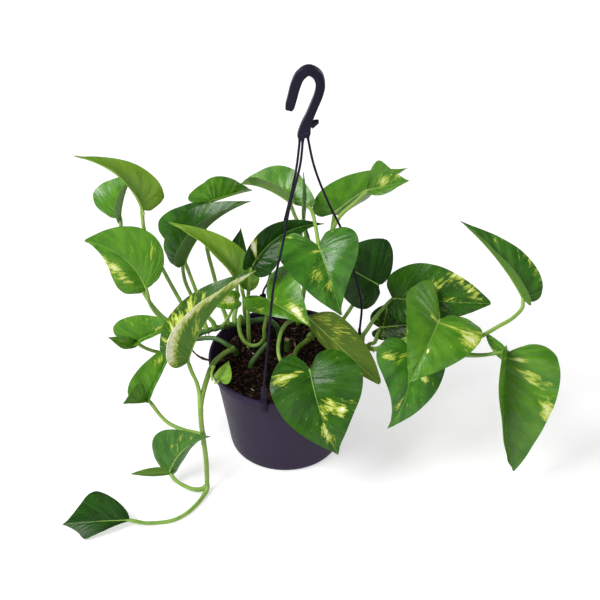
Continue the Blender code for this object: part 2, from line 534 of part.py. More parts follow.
def add_rod(name):
    """A rod from the hook's foot to the rim, with its clip over the rim."""
    path = [np.array(p, float) for p in RODS[name]]
    foot = path[-1]
    turn = np.arctan2(foot[1], foot[0])
    radial = heading(np.degrees(turn), 0)
    clip = as_mesh(plate(name + "_clip", CLIP_PROFILE, CLIP_WIDTH, HANGER_COLOUR))
    obj = bpy.data.objects.new(name, clip.data)
    obj.rotation_euler = (np.pi / 2, 0, turn)
    collection(COLLECTION).objects.link(obj)
    bpy.data.objects.remove(clip)
    path[-1] = radial * 74.3 + (0, 0, 124)
    path.append(radial * 74.3 + (0, 0, 117))
    join(obj, tube(name + "_line", path, ROD_R, HANGER_COLOUR, step=18.0, helper=True))


def main():
    """Builds every piece of the plant, its pot and its hanger."""
    for obj in list(bpy.data.objects):
        bpy.data.objects.remove(obj)
    turned("pot", POT_PROFILE, POT_STEPS, POT_COLOUR)
    turned("soil", SOIL_PROFILE, POT_STEPS, SOIL_COLOUR)
    add_hook()
    for name in RODS:
        add_rod(name)
    for name in STEMS:
        add_stem(name)
    for name in PETIOLES:
        add_leaf(name)


main()
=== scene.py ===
"""The looks of a trailing, variegated scindapsus in a hanging pot.

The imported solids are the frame: every piece here stands for one of their nodes and
lies where that node lies. Lengths are typed in millimetres, angles in degrees and
colours as sRGB hex. The origin is the centre of the pot's base; the front is -Y.
"""

import logging
import math
from collections.abc import Callable, Iterator, Sequence
from contextlib import contextmanager
from dataclasses import dataclass, field
from enum import Enum
from typing import NamedTuple

import bpy
import numpy as np
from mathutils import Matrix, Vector, noise


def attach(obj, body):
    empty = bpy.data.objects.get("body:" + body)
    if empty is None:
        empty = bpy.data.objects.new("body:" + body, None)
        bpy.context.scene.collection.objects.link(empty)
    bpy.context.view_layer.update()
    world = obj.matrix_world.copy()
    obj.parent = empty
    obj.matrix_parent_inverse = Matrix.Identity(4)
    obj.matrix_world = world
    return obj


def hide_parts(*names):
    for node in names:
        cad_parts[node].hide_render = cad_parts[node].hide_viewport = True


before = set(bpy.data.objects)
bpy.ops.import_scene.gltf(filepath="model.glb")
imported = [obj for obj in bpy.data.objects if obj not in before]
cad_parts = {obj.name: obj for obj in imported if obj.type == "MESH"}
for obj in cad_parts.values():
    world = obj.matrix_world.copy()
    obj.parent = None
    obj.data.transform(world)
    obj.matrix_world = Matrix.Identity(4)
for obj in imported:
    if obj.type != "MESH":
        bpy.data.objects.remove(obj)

Point = tuple[float, float, float]
Pair = tuple[float, float]
Array = np.ndarray
Thing = bpy.types.Object
Material = bpy.types.Material
Socket = bpy.types.NodeSocket

LOG = logging.getLogger("potted_scindapsus")
MM = 0.001
BODY = "root"

# The leaf's pattern, from the joint over the lobe and round to the tip. Each row is a
# side vein: where it meets the edge, as shares of the length and of the half width,
# and where it leaves the midrib, as a share of the length.
OUTLINE = (
    (0.0, 0.02), (-0.07, 0.10), (-0.145, 0.30), (-0.13, 0.60), (-0.02, 0.86), (0.15, 1.0),
    (0.38, 0.88), (0.60, 0.60), (0.78, 0.32), (0.91, 0.11), (1.0, 0.004),
)
RIB = (0.0, 0.004, 0.008, 0.013, 0.025, 0.06, 0.15, 0.32, 0.55, 0.79, 1.0)
VEINS = 88.0  # radians that the side veins' wave runs from the joint to the tip
BLADE_THICKNESS = 0.45
SMALL_LEAF = 12.0  # a leaf with both halves narrower than this is a small one
SOIL_TOP = 96.0
SUNK = 4.0  # how deep a stem goes into the peat
GAP = 0.45  # what a packed stalk leaves free round the vine that it grows from


# --- small tools -----------------------------------------------------------------
def linear(code: str) -> tuple[float, float, float, float]:
    """Turns an sRGB hex colour into the linear colour that a shader takes.

    Args:
        code: Six hex digits with a leading #.

    Returns:
        Red, green, blue and 1.
    """
    parts = [int(code[n : n + 2], 16) / 255 for n in (1, 3, 5)]
    red, green, blue = (c / 12.92 if c <= 0.04045 else ((c + 0.055) / 1.055) ** 2.4 for c in parts)
    return red, green, blue, 1.0


def unit(vector: Array) -> Array:
    """Scales a vector, or each row of vectors, to length 1."""
    vector = np.asarray(vector, float)
    return vector / np.maximum(np.linalg.norm(vector, axis=-1, keepdims=True), 1e-12)


def travelled(line: Array) -> Array:
    """Gives each point's way along a line from its start."""
    steps = np.linalg.norm(np.diff(line, axis=0), axis=1)
    return np.concatenate([[0.0], np.cumsum(steps)])


def smooth(points: Array, t: Array) -> Array:
    """Reads a smooth curve through points, by its share of the chords' length.

    Args:
        points: The points that the curve goes through, in order.
        t: Where to read it, from 0 to 1.

    Returns:
        One row for each value of t.
    """
    p = np.asarray(points, float)
    gaps = np.linalg.norm(np.diff(p, axis=0), axis=1)
    at = travelled(p)
    slope = np.diff(p, axis=0) / gaps[:, None]
    before, after = gaps[:-1, None], gaps[1:, None]
    middle = (slope[1:] * before + slope[:-1] * after) / (before + after)
    way = np.vstack([slope[:1], middle, slope[-1:]])
    s = np.clip(np.asarray(t, float), 0, 1) * at[-1]
    i = np.clip(np.searchsorted(at, s, side="right") - 1, 0, len(gaps) - 1)
    h = gaps[i][:, None]
    f = (s - at[i])[:, None] / h
    g = 1 - f
    ends = p[i] * (1 + 2 * f) * g**2 + p[i + 1] * (3 - 2 * f) * f**2
    return ends + h * f * g * (way[i] * g - way[i + 1] * f)


def even(points: Array, step: float) -> Array:
    """Reads a smooth curve through the points at about this spacing in mm."""
    length = np.linalg.norm(np.diff(np.asarray(points, float), axis=0), axis=1).sum()
    return smooth(points, np.linspace(0, 1, max(4, int(round(length / step))) + 1))


def pattern(rows: tuple, t: Array) -> Array:
    """Reads the leaf pattern between its rows, with no kinks.

    Args:
        rows: The rows, evenly spaced in t.
        t: Where to read them, from 0 to 1.

    Returns:
        One row for each value of t.
    """
    p = np.asarray(rows, float).reshape(len(rows), -1)
    n = len(p) - 1
    q = np.vstack([2 * p[0] - p[1], p, 2 * p[-1] - p[-2]])
    s = np.clip(np.asarray(t, float), 0, 1) * n
    i = np.minimum(s.astype(int), n - 1)
    f = (s - i)[:, None]
    a, b, c, d = q[i], q[i + 1], q[i + 2], q[i + 3]
    square, cube = 2 * a - 5 * b + 4 * c - d, 3 * b - a - 3 * c + d
    return 0.5 * (2 * b + (c - a) * f + square * f**2 + cube * f**3)


def heading(compass: float, height: float) -> Array:
    """Gives the unit vector that looks this way, from two angles in degrees."""
    a, e = math.radians(compass), math.radians(height)
    return np.array([math.cos(e) * math.cos(a), math.cos(e) * math.sin(a), math.sin(e)])


# --- working on a mesh -----------------------------------------------------------
def only(obj: Thing) -> Thing:
    """Makes one object the selected and active one.

    Args:
        obj: The object.

    Returns:
        The same object.
    """
    bpy.ops.object.select_all(action="DESELECT")
    obj.select_set(True)
    bpy.context.view_layer.objects.active = obj
    return obj


def primitive(operator: Callable, name: str, **settings: object) -> Thing:
    """Adds a primitive to start a piece from, and names it.

    Args:
        operator: What adds it.
        name: The piece's name.
        settings: The operator's settings.

    Returns:
        The new object, the only one selected.
    """
    bpy.ops.object.select_all(action="DESELECT")
    operator(**settings)
    obj = bpy.context.object
    obj.name = obj.data.name = name
    return obj


@contextmanager
def editing() -> Iterator[None]:
    """Opens the active mesh in edit mode, all of it selected, and closes it after.

    Yields:
        Nothing; the work is done inside the with block.
    """
    bpy.ops.object.mode_set(mode="EDIT")
    bpy.ops.mesh.select_all(action="SELECT")
    yield
    bpy.ops.object.mode_set(mode="OBJECT")


def outward() -> None:
    """Turns all faces of the mesh being edited outwards."""
    bpy.ops.mesh.select_all(action="SELECT")
    bpy.ops.mesh.normals_make_consistent(inside=False)


def weld(within: float = 0.02, least: float = 0.001) -> None:
    """Welds the seams and poles of the sheet being edited; both limits are in mm."""
    bpy.ops.mesh.remove_doubles(threshold=within * MM)
    bpy.ops.mesh.dissolve_degenerate(threshold=least * MM)


def soften(angle: float) -> None:
    """Shades the active mesh smooth, apart from edges sharper than this angle."""
    bpy.ops.object.shade_smooth_by_angle(angle=math.radians(angle))


def dress(obj: Thing, *materials: Material) -> Thing:
    """Gives a piece its finishes in place of any it has.

    Args:
        obj: The piece.
        materials: Its finishes.

    Returns:
        The same piece.
    """
    obj.data.materials.clear()
    for material in materials:
        obj.data.materials.append(material)
    return obj


def place(obj: Thing, points: Array) -> None:
    """Moves every point of the mesh to its place in millimetres."""
    obj.data.vertices.foreach_set("co", (np.asarray(points, float) * MM).ravel())
    obj.data.update()


def note(obj: Thing, name: str, *values: Array) -> None:
    """Keeps three numbers with each point, for a material to read."""
    kept = obj.data.attributes.new(name, "FLOAT_VECTOR", "POINT")
    kept.data.foreach_set("vector", np.stack(values, 1).astype(np.float32).ravel())


def apply(obj: Thing, kind: str, **settings: object) -> None:
    """Adds one modifier and applies it.

    Args:
        obj: The piece.
        kind: The modifier's type.
        settings: The modifier's settings.
    """
    only(obj)
    modifier = obj.modifiers.new(kind.lower(), kind)
    for key, value in settings.items():
        setattr(modifier, key, value)
    bpy.ops.object.modifier_apply(modifier=modifier.name)


def joined(name: str, pieces: list[Thing]) -> Thing:
    """Joins pieces into the first one and names it.

    Args:
        name: The joined piece's name.
        pieces: What to join, or a single piece.

    Returns:
        The joined piece.
    """
    obj = only(pieces[0])
    for piece in pieces[1:]:
        piece.select_set(True)
    if len(pieces) > 1:
        bpy.ops.object.join()
    obj.name = obj.data.name = name
    return obj


def sheet(name: str, rows: int, columns: int) -> tuple[Thing, Array, Array]:
    """Adds a flat grid whose points are then moved into a shape.

    Args:
        name: The object's name.
        rows: Faces along the first way.
        columns: Faces along the second way.

    Returns:
        The object, and each point's place on the sheet, from 0 to 1 both ways.
    """
    obj = primitive(bpy.ops.mesh.primitive_grid_add, name, x_subdivisions=rows,
                    y_subdivisions=columns, size=2, calc_uvs=True)
    flat = np.empty(len(obj.data.vertices) * 3)
    obj.data.vertices.foreach_get("co", flat)
    flat = flat.reshape(-1, 3)
    return obj, (flat[:, 0] + 1) / 2, (flat[:, 1] + 1) / 2


def tube(name: str, line: Array, radius: Array, sides: int, groove: float = 0.0) -> Thing:
    """Rolls a sheet round a line into a stem, closed at both ends.

    Each point keeps how far round it is, how far along in mm, and its share of the
    length, under the name stalk.

    Args:
        name: The object's name.
        line: The centre line's points, evenly spaced.
        radius: The radius at each of them.
        sides: Faces round the stem.
        groove: How deep the channel along the stem is, as a share of the radius.

    Returns:
        The stem.
    """
    off_line, groove_at, groove_width = (0.31, 0.95, 0.12), 0.5, 0.16
    line = np.vstack([line[:1], line, line[-1:]])
    radius = np.concatenate([[0.0], radius, [0.0]])
    along = np.gradient(line, axis=0)
    along[0], along[-1] = along[1], along[-2]
    along = unit(along)
    side = unit(np.cross(along[0], off_line))
    asides, ups = [], []
    for way in along:
        side = unit(side - (side @ way) * way)
        asides.append(side)
        ups.append(np.cross(way, side))
    obj, t, v = sheet(name, len(line) - 1, sides)
    n = np.rint(t * (len(line) - 1)).astype(int)
    a = 2 * np.pi * v
    r = radius[n] * (1 - groove * np.exp(-(((a / np.pi) - groove_at) / groove_width) ** 2))
    turned = np.cos(a)[:, None] * np.array(asides)[n] + np.sin(a)[:, None] * np.array(ups)[n]
    place(obj, line[n] + r[:, None] * turned)
    lengths = travelled(line)
    note(obj, "stalk", v, lengths[n], lengths[n] / lengths[-1])
    with editing():
        weld()
        outward()
    bpy.ops.object.shade_smooth()
    return obj


# --- mixing a finish -------------------------------------------------------------
def fill(node: bpy.types.Node, inputs: dict) -> None:
    """Sets or links a node's inputs.

    Args:
        node: The node.
        inputs: Values, colours or other nodes' outputs, by input name or number.
    """
    for key, value in inputs.items():
        if isinstance(value, Socket):
            node.id_data.links.new(value, node.inputs[key])
        else:
            node.inputs[key].default_value = value


def add(tree: bpy.types.NodeTree, kind: str, inputs: dict | None = None,
        **settings: object) -> bpy.types.Node:
    """Adds a shader node with its settings, and fills or links its inputs.

    Args:
        tree: The material's nodes.
        kind: The node's type.
        inputs: Values, colours or other nodes' outputs, by input name or number.
        settings: The node's own properties.

    Returns:
        The node.
    """
    made = tree.nodes.new(kind)
    for key, value in settings.items():
        setattr(made, key, value)
    fill(made, inputs or {})
    return made


class Mix:
    """A material in the making, with the steps that the finishes share."""

    def __init__(self, name: str) -> None:
        """Starts a material.

        Args:
            name: The material's name.
        """
        self.material = bpy.data.materials.new(name)
        self.material.use_nodes = True
        self.tree = self.material.node_tree

    def here(self) -> Socket:
        """Gives the object's own coordinates."""
        return add(self.tree, "ShaderNodeTexCoord").outputs["Object"]

    def kept(self, name: str) -> Socket:
        """Reads the three numbers that are kept with each point."""
        return add(self.tree, "ShaderNodeAttribute", attribute_name=name).outputs["Vector"]

    def part(self, vector: Socket, axis: str) -> Socket:
        """Takes X, Y or Z out of three numbers."""
        return add(self.tree, "ShaderNodeSeparateXYZ", {0: vector}).outputs[axis]

    def stretched(self, name: str, scale: Point) -> Socket:
        """Reads the numbers kept with each point, each times its own scale."""
        inputs = {"Vector": self.kept(name), "Scale": scale}
        return add(self.tree, "ShaderNodeMapping", inputs).outputs[0]

    def cloud(self, where: Socket, scale: float = 1.0, detail: float = 3.0,
              roughness: float = 0.6, distortion: float = 0.0) -> Socket:
        """Gives a cloudy pattern from 0 to 1.

        Args:
            where: The coordinates to read it at.
            scale: How fine it is.
            detail: How many finer layers it has.
            roughness: How strong these are.
            distortion: How much it is stirred.

        Returns:
            The pattern.
        """
        inputs = {"Vector": where, "Scale": scale, "Detail": detail, "Roughness": roughness,
                  "Distortion": distortion}
        return add(self.tree, "ShaderNodeTexNoise", inputs).outputs["Fac"]

    def grains(self, where: Socket, scale: float) -> Socket:
        """Gives the distance from the middle of the nearest grain."""
        inputs = {"Vector": where, "Scale": scale}
        return add(self.tree, "ShaderNodeTexVoronoi", inputs).outputs["Distance"]

    def sum(self, *values: Socket) -> Socket:
        """Adds two numbers."""
        inputs = dict(enumerate(values))
        return add(self.tree, "ShaderNodeMath", inputs, operation="ADD").outputs[0]

    def times(self, value: Socket, much: Socket | float) -> Socket:
        """Multiplies two numbers."""
        inputs = {0: value, 1: much}
        return add(self.tree, "ShaderNodeMath", inputs, operation="MULTIPLY").outputs[0]

    def ranged(self, value: Socket, within: Pair, to: Pair = (0.0, 1.0)) -> Socket:
        """Turns a number's place within one range into the same place in another.

        Args:
            value: The number, held to the first range.
            within: The first range.
            to: The second range.

        Returns:
            The number in the second range.
        """
        inputs = {"Value": value, "From Min": within[0], "From Max": within[1],
                  "To Min": to[0], "To Max": to[1]}
        return add(self.tree, "ShaderNodeMapRange", inputs).outputs[0]

    def tint(self, share: Socket | float, first: str | Socket, second: str | Socket) -> Socket:
        """Mixes two colours by the share of the second.

        Args:
            share: From 0 to 1.
            first: A hex colour, or a node's output.
            second: A hex colour, or a node's output.

        Returns:
            The mixed colour.
        """
        inputs = {"Factor": share}
        for n, colour in enumerate((first, second), start=6):
            inputs[n] = linear(colour) if isinstance(colour, str) else colour
        return add(self.tree, "ShaderNodeMix", inputs, data_type="RGBA").outputs[2]

    def bumps(self, height: Socket, strength: float, distance: float) -> Socket:
        """Raises the surface by a pattern; the distance is in mm."""
        inputs = {"Height": height, "Strength": strength, "Distance": distance * MM}
        return add(self.tree, "ShaderNodeBump", inputs).outputs[0]

    def done(self, inputs: dict) -> Material:
        """Fills the shader's sockets and hands the material over."""
        fill(self.tree.nodes["Principled BSDF"], inputs)
        return self.material


# --- finishes --------------------------------------------------------------------
class Tone(Enum):
    """How green a leaf is: its colour, its darker patches and its underside, with painted sheen
    and painted light in the lighter tones.
    """

    # BRIGHT is a light green that also stands for painted sheen on the glossy leaves it is given
    # to
    BRIGHT = ("#588c1e", "#3d7213", "#67893a")
    MID = ("#427a1b", "#295b10", "#5c7f34")
    DARK = ("#32620f", "#214a0b", "#4c6f2c")
    DEEP = ("#1f4b0a", "#143507", "#416224")
    MARBLED = ("#315f10", "#224a0c", "#5a8436")
    OLIVE = ("#5f8428", "#4a701c", "#586f28")
    # LIT_LIME is lifted above the leaf's own green as painted light: painted sheen on one leaf,
    # painted light on one that faces away from the lamps
    LIT_LIME = ("#82ac34", "#6c9828", "#86a83e")
    YOUNG = ("#8fb83c", "#6c9e2c", "#a3bf5c")


@dataclass(frozen=True)
class Plastic:
    """Injection-moulded polypropylene, dyed through, with a fine spark-eroded grain.

    The dye shows as an even dark aubergine; the grain breaks the gloss into a soft
    satin, and handling leaves faint paler scuffs.
    """

    name: str
    colour: str
    scuff: str
    roughness: float
    grain: float  # how many grains to the metre

    def build(self) -> Material:
        """Builds the material from the object's own coordinates.

        Returns:
            The material.
        """
        mix = Mix(self.name)
        where = mix.here()
        cloud = mix.cloud(where, scale=26.0, detail=4.0)
        rub = mix.cloud(where, scale=240.0, roughness=0.7)
        worn = mix.ranged(mix.times(cloud, rub), within=(0.24, 0.44), to=(0.0, 0.4))
        satin = (self.roughness - 0.04, self.roughness + 0.06)
        # the real grain is 0.1 mm; it is drawn at 0.6 mm so that it holds at arm's length
        pits = mix.grains(where, self.grain)
        return mix.done({
            "Base Color": mix.tint(worn, self.colour, self.scuff),
            "Roughness": mix.ranged(cloud, within=(0.3, 0.7), to=satin),
            "IOR": 1.49,
            "Specular IOR Level": 0.12,
            "Normal": mix.bumps(pits, strength=0.12, distance=0.2),
        })


@dataclass(frozen=True)
class Peat:
    """Damp peat and coir: nearly black crumbs with red-brown fibre, and no gloss."""

    name: str = "peat"
    stops: tuple[tuple[float, str], ...] = (
        (0.36, "#050302"), (0.56, "#120a08"), (0.72, "#2b140c"),
    )

    def build(self) -> Material:
        """Builds the material from the object's own coordinates.

        Returns:
            The material.
        """
        mix = Mix(self.name)
        where = mix.here()
        crumbs = mix.cloud(where, scale=420.0, detail=6.0, roughness=0.7)
        ramp = add(mix.tree, "ShaderNodeValToRGB", {"Fac": crumbs})
        ramp.color_ramp.elements.new(0.5)
        for stop, (at, colour) in zip(ramp.color_ramp.elements, self.stops):
            stop.position, stop.color = at, linear(colour)
        grit = mix.grains(where, scale=700.0)
        return mix.done({
            "Base Color": ramp.outputs[0],
            "Roughness": 0.93,
            "Specular IOR Level": 0.08,
            "Normal": mix.bumps(mix.sum(crumbs, grit), strength=0.9, distance=1.2),
        })


@dataclass(frozen=True)
class Fibre:
    """Dry plant matter in the peat, with a grain along it: bark, coir or wood."""

    name: str
    dark: str
    light: str

    def build(self) -> Material:
        """Builds the material from the object's own coordinates.

        Returns:
            The material.
        """
        mix = Mix(self.name)
        grain = mix.cloud(mix.here(), scale=300.0, detail=4.0, roughness=0.65)
        return mix.done({
            "Base Color": mix.tint(grain, self.dark, self.light),
            "Roughness": 0.8,
            "Normal": mix.bumps(grain, strength=0.5, distance=0.5),
        })


@dataclass(frozen=True)
class Stalk:
    """A fleshy green stem: a waxy skin over fine strands, paler where it is shaded."""

    name: str
    pale: str
    green: str
    scar: str

    def build(self) -> Material:
        """Builds the material from how far round and along the stem a point is.

        Returns:
            The material.
        """
        mix = Mix(self.name)
        where = mix.here()
        strands = mix.cloud(mix.stretched("stalk", (9.0, 0.05, 1.0)), scale=2.2)
        cloud = mix.cloud(where, scale=55.0, roughness=0.55)
        share = mix.ranged(mix.sum(strands, cloud), within=(0.75, 1.25))
        flecks = mix.cloud(where, scale=420.0, detail=2.0, roughness=0.5)
        brown = mix.ranged(flecks, within=(0.66, 0.74), to=(0.0, 0.5))
        return mix.done({
            "Base Color": mix.tint(brown, mix.tint(share, self.green, self.pale), self.scar),
            "Roughness": 0.42,
            "IOR": 1.45,
            "Normal": mix.bumps(strands, strength=0.35, distance=0.4),
        })


@dataclass(frozen=True)
class Blade:
    """A waxy aroid leaf: deep green panels between pale veins, streaked yellow.

    The streaks follow the side veins, as the pale cells grow in lines with them. The
    cuticle gives a broad soft gloss above; the underside is dull and paler.
    """

    tone: Tone
    yellow: str = "#b4c445"
    cream: str = "#f6f3d2"
    side_vein: str = "#86ad48"
    midrib: str = "#84ad45"

    def streaked(self, mix: Mix, base: Socket, dull: float) -> Socket:
        """Lays the yellow and cream streaks over a green.

        Args:
            mix: The material in the making.
            base: The green.
            dull: How much the streaks are greyed by the green, from 0 to 1.

        Returns:
            The leaf's colour.
        """
        patch = mix.part(mix.kept("spot"), "X")
        streak = mix.cloud(mix.stretched("leaf", (46.0, 3.0, 7.0)), detail=5.0, roughness=0.62,
                           distortion=0.25)
        fleck = mix.cloud(mix.stretched("leaf", (150.0, 9.0, 11.0)))
        much = mix.sum(mix.sum(mix.times(streak, 1.35), mix.times(fleck, 0.55)), patch)
        pale = mix.ranged(much, within=(1.16, 1.38))
        creamy = mix.ranged(much, within=(1.36, 1.72))
        light = mix.tint(creamy, self.yellow, self.cream)
        return mix.tint(mix.times(pale, 1 - dull), base, light)

    def green(self, mix: Mix, first: str, second: str) -> tuple[Socket, Socket]:
        """Mixes two greens in soft clouds along the side veins.

        Args:
            mix: The material in the making.
            first: The main green.
            second: The darker or lighter one.

        Returns:
            The colour, and the height of the panels between the veins.
        """
        cloud = mix.cloud(mix.stretched("leaf", (14.0, 1.6, 5.0)), detail=4.0)
        tint = mix.tint(mix.ranged(cloud, within=(0.36, 0.64)), first, second)
        turns = mix.times(mix.part(mix.kept("leaf"), "X"), VEINS)
        wave = add(mix.tree, "ShaderNodeMath", {0: turns}, operation="SINE").outputs[0]
        line = mix.ranged(wave, within=(0.80, 1.0), to=(0.0, 0.03))
        return mix.tint(line, tint, self.side_vein), wave

    def side(self, under: bool) -> Material:
        """Builds the upper or the under side of the blade.

        Args:
            under: Whether it is the under side.

        Returns:
            The material.
        """
        main, second, below = self.tone.value
        mix = Mix(f"leaf_{'under' if under else 'upper'}_{self.tone.name.lower()}")
        if under:
            green, wave = self.green(mix, below, main)
            colour = self.streaked(mix, mix.tint(0.65, green, below), dull=0.05)
            matt, gloss = 0.60, 0.2
        else:
            green, wave = self.green(mix, main, second)
            colour = self.streaked(mix, green, dull=0.0)
            matt, gloss = 0.25, 0.3 if self.tone in (Tone.DEEP, Tone.DARK) else 0.45
        rib = mix.ranged(mix.part(mix.kept("spot"), "Y"), within=(0.15, 0.6), to=(0.32, 0.0))
        skin = mix.cloud(mix.here(), scale=160.0, detail=4.0)
        pucker = mix.cloud(mix.stretched("leaf", (46.0, 2.2, 3.0)), roughness=0.55)
        relief = mix.sum(mix.sum(mix.times(wave, 0.10), pucker), mix.times(skin, 0.3))
        return mix.done({
            "Base Color": mix.tint(rib, colour, self.midrib),
            "Roughness": mix.ranged(skin, within=(0.3, 0.7), to=(matt - 0.06, matt + 0.08)),
            "IOR": 1.42,
            "Specular IOR Level": gloss,
            "Normal": mix.bumps(relief, strength=0.55, distance=1.0),
        })


POT_PLASTIC = Plastic("pot_plastic", "#2b2138", "#3a2e48", roughness=0.46, grain=1600.0)
HANGER_PLASTIC = Plastic("hanger_plastic", "#1a1426", "#2c2440", roughness=0.40, grain=1800.0)
COIR = Fibre("coir_fibre", "#23100a", "#7a4227")
BARK = Fibre("bark_chip", "#1a0e0a", "#4a2b1c")
WOOD = Fibre("wood_sliver", "#a5835a", "#d7bd94")
PERLITE = Fibre("perlite", "#b9b2a4", "#e9e4d8")
ROOT = Fibre("aerial_root", "#1d120b", "#4a3320")
CORK = Fibre("dry_cut", "#8a6650", "#b9967a")
STALK = Stalk("petiole_skin", "#93b350", "#6b9436", "#7a6a34")
VINE = Stalk("vine_skin", "#84a040", "#5f8230", "#6b5a2c")
DARK_VINE = Stalk("old_vine_skin", "#4b722c", "#2c5018", "#4a3c24")
YOUNG = Stalk("shoot_skin", "#b6d465", "#8fb843", "#8a7a3c")


# --- the pot ---------------------------------------------------------------------
@dataclass
class Pot:
    """The round hanging pot: a turned shell with a lip band and a flat base."""

    profile: tuple[Pair, ...] = (
        (51.5, 0.0), (53.8, 0.5), (55.2, 1.8), (56.0, 5.0), (56.7, 10.0), (57.7, 18.0),
        (59.7, 32.0), (61.9, 46.0), (64.3, 62.0), (67.4, 80.0), (69.6, 95.4), (70.0, 97.4),
        (70.9, 98.2), (74.2, 98.4), (74.9, 98.9), (75.0, 99.6), (75.0, 103.8), (74.8, 104.7),
        (74.2, 105.0), (72.6, 105.0), (72.1, 104.6), (71.9, 103.6), (69.2, 97.0), (66.2, 80.0),
        (62.9, 62.0), (60.5, 46.0), (58.2, 32.0), (56.1, 18.0), (53.6, 8.0), (49.5, 3.0),
        (20.0, 3.0),
    )
    steps: int = 128
    base_ring: float = 12.0
    crease: float = 32.0

    def build(self) -> Thing:
        """Turns the shell from its base disc up over the lip and down the inside.

        Returns:
            The shell.
        """
        r, z = self.profile[0]
        pot = primitive(bpy.ops.mesh.primitive_circle_add, "pot_shell", vertices=self.steps,
                        radius=r * MM, fill_type="NGON")
        with editing():
            bpy.ops.mesh.inset(thickness=self.base_ring * MM)
            bpy.ops.mesh.select_all(action="SELECT")
            bpy.ops.mesh.region_to_loop()
            for wider, higher in self.profile[1:]:
                grow, rise, top = wider / r, (0, 0, (higher - z) * MM), (0, 0, higher * MM)
                bpy.ops.mesh.extrude_region_move(TRANSFORM_OT_translate={"value": rise})
                bpy.ops.transform.resize(value=(grow, grow, 1), center_override=top)
                r, z = wider, higher
            bpy.ops.mesh.edge_face_add()
            outward()
        soften(self.crease)
        return dress(pot, POT_PLASTIC.build())


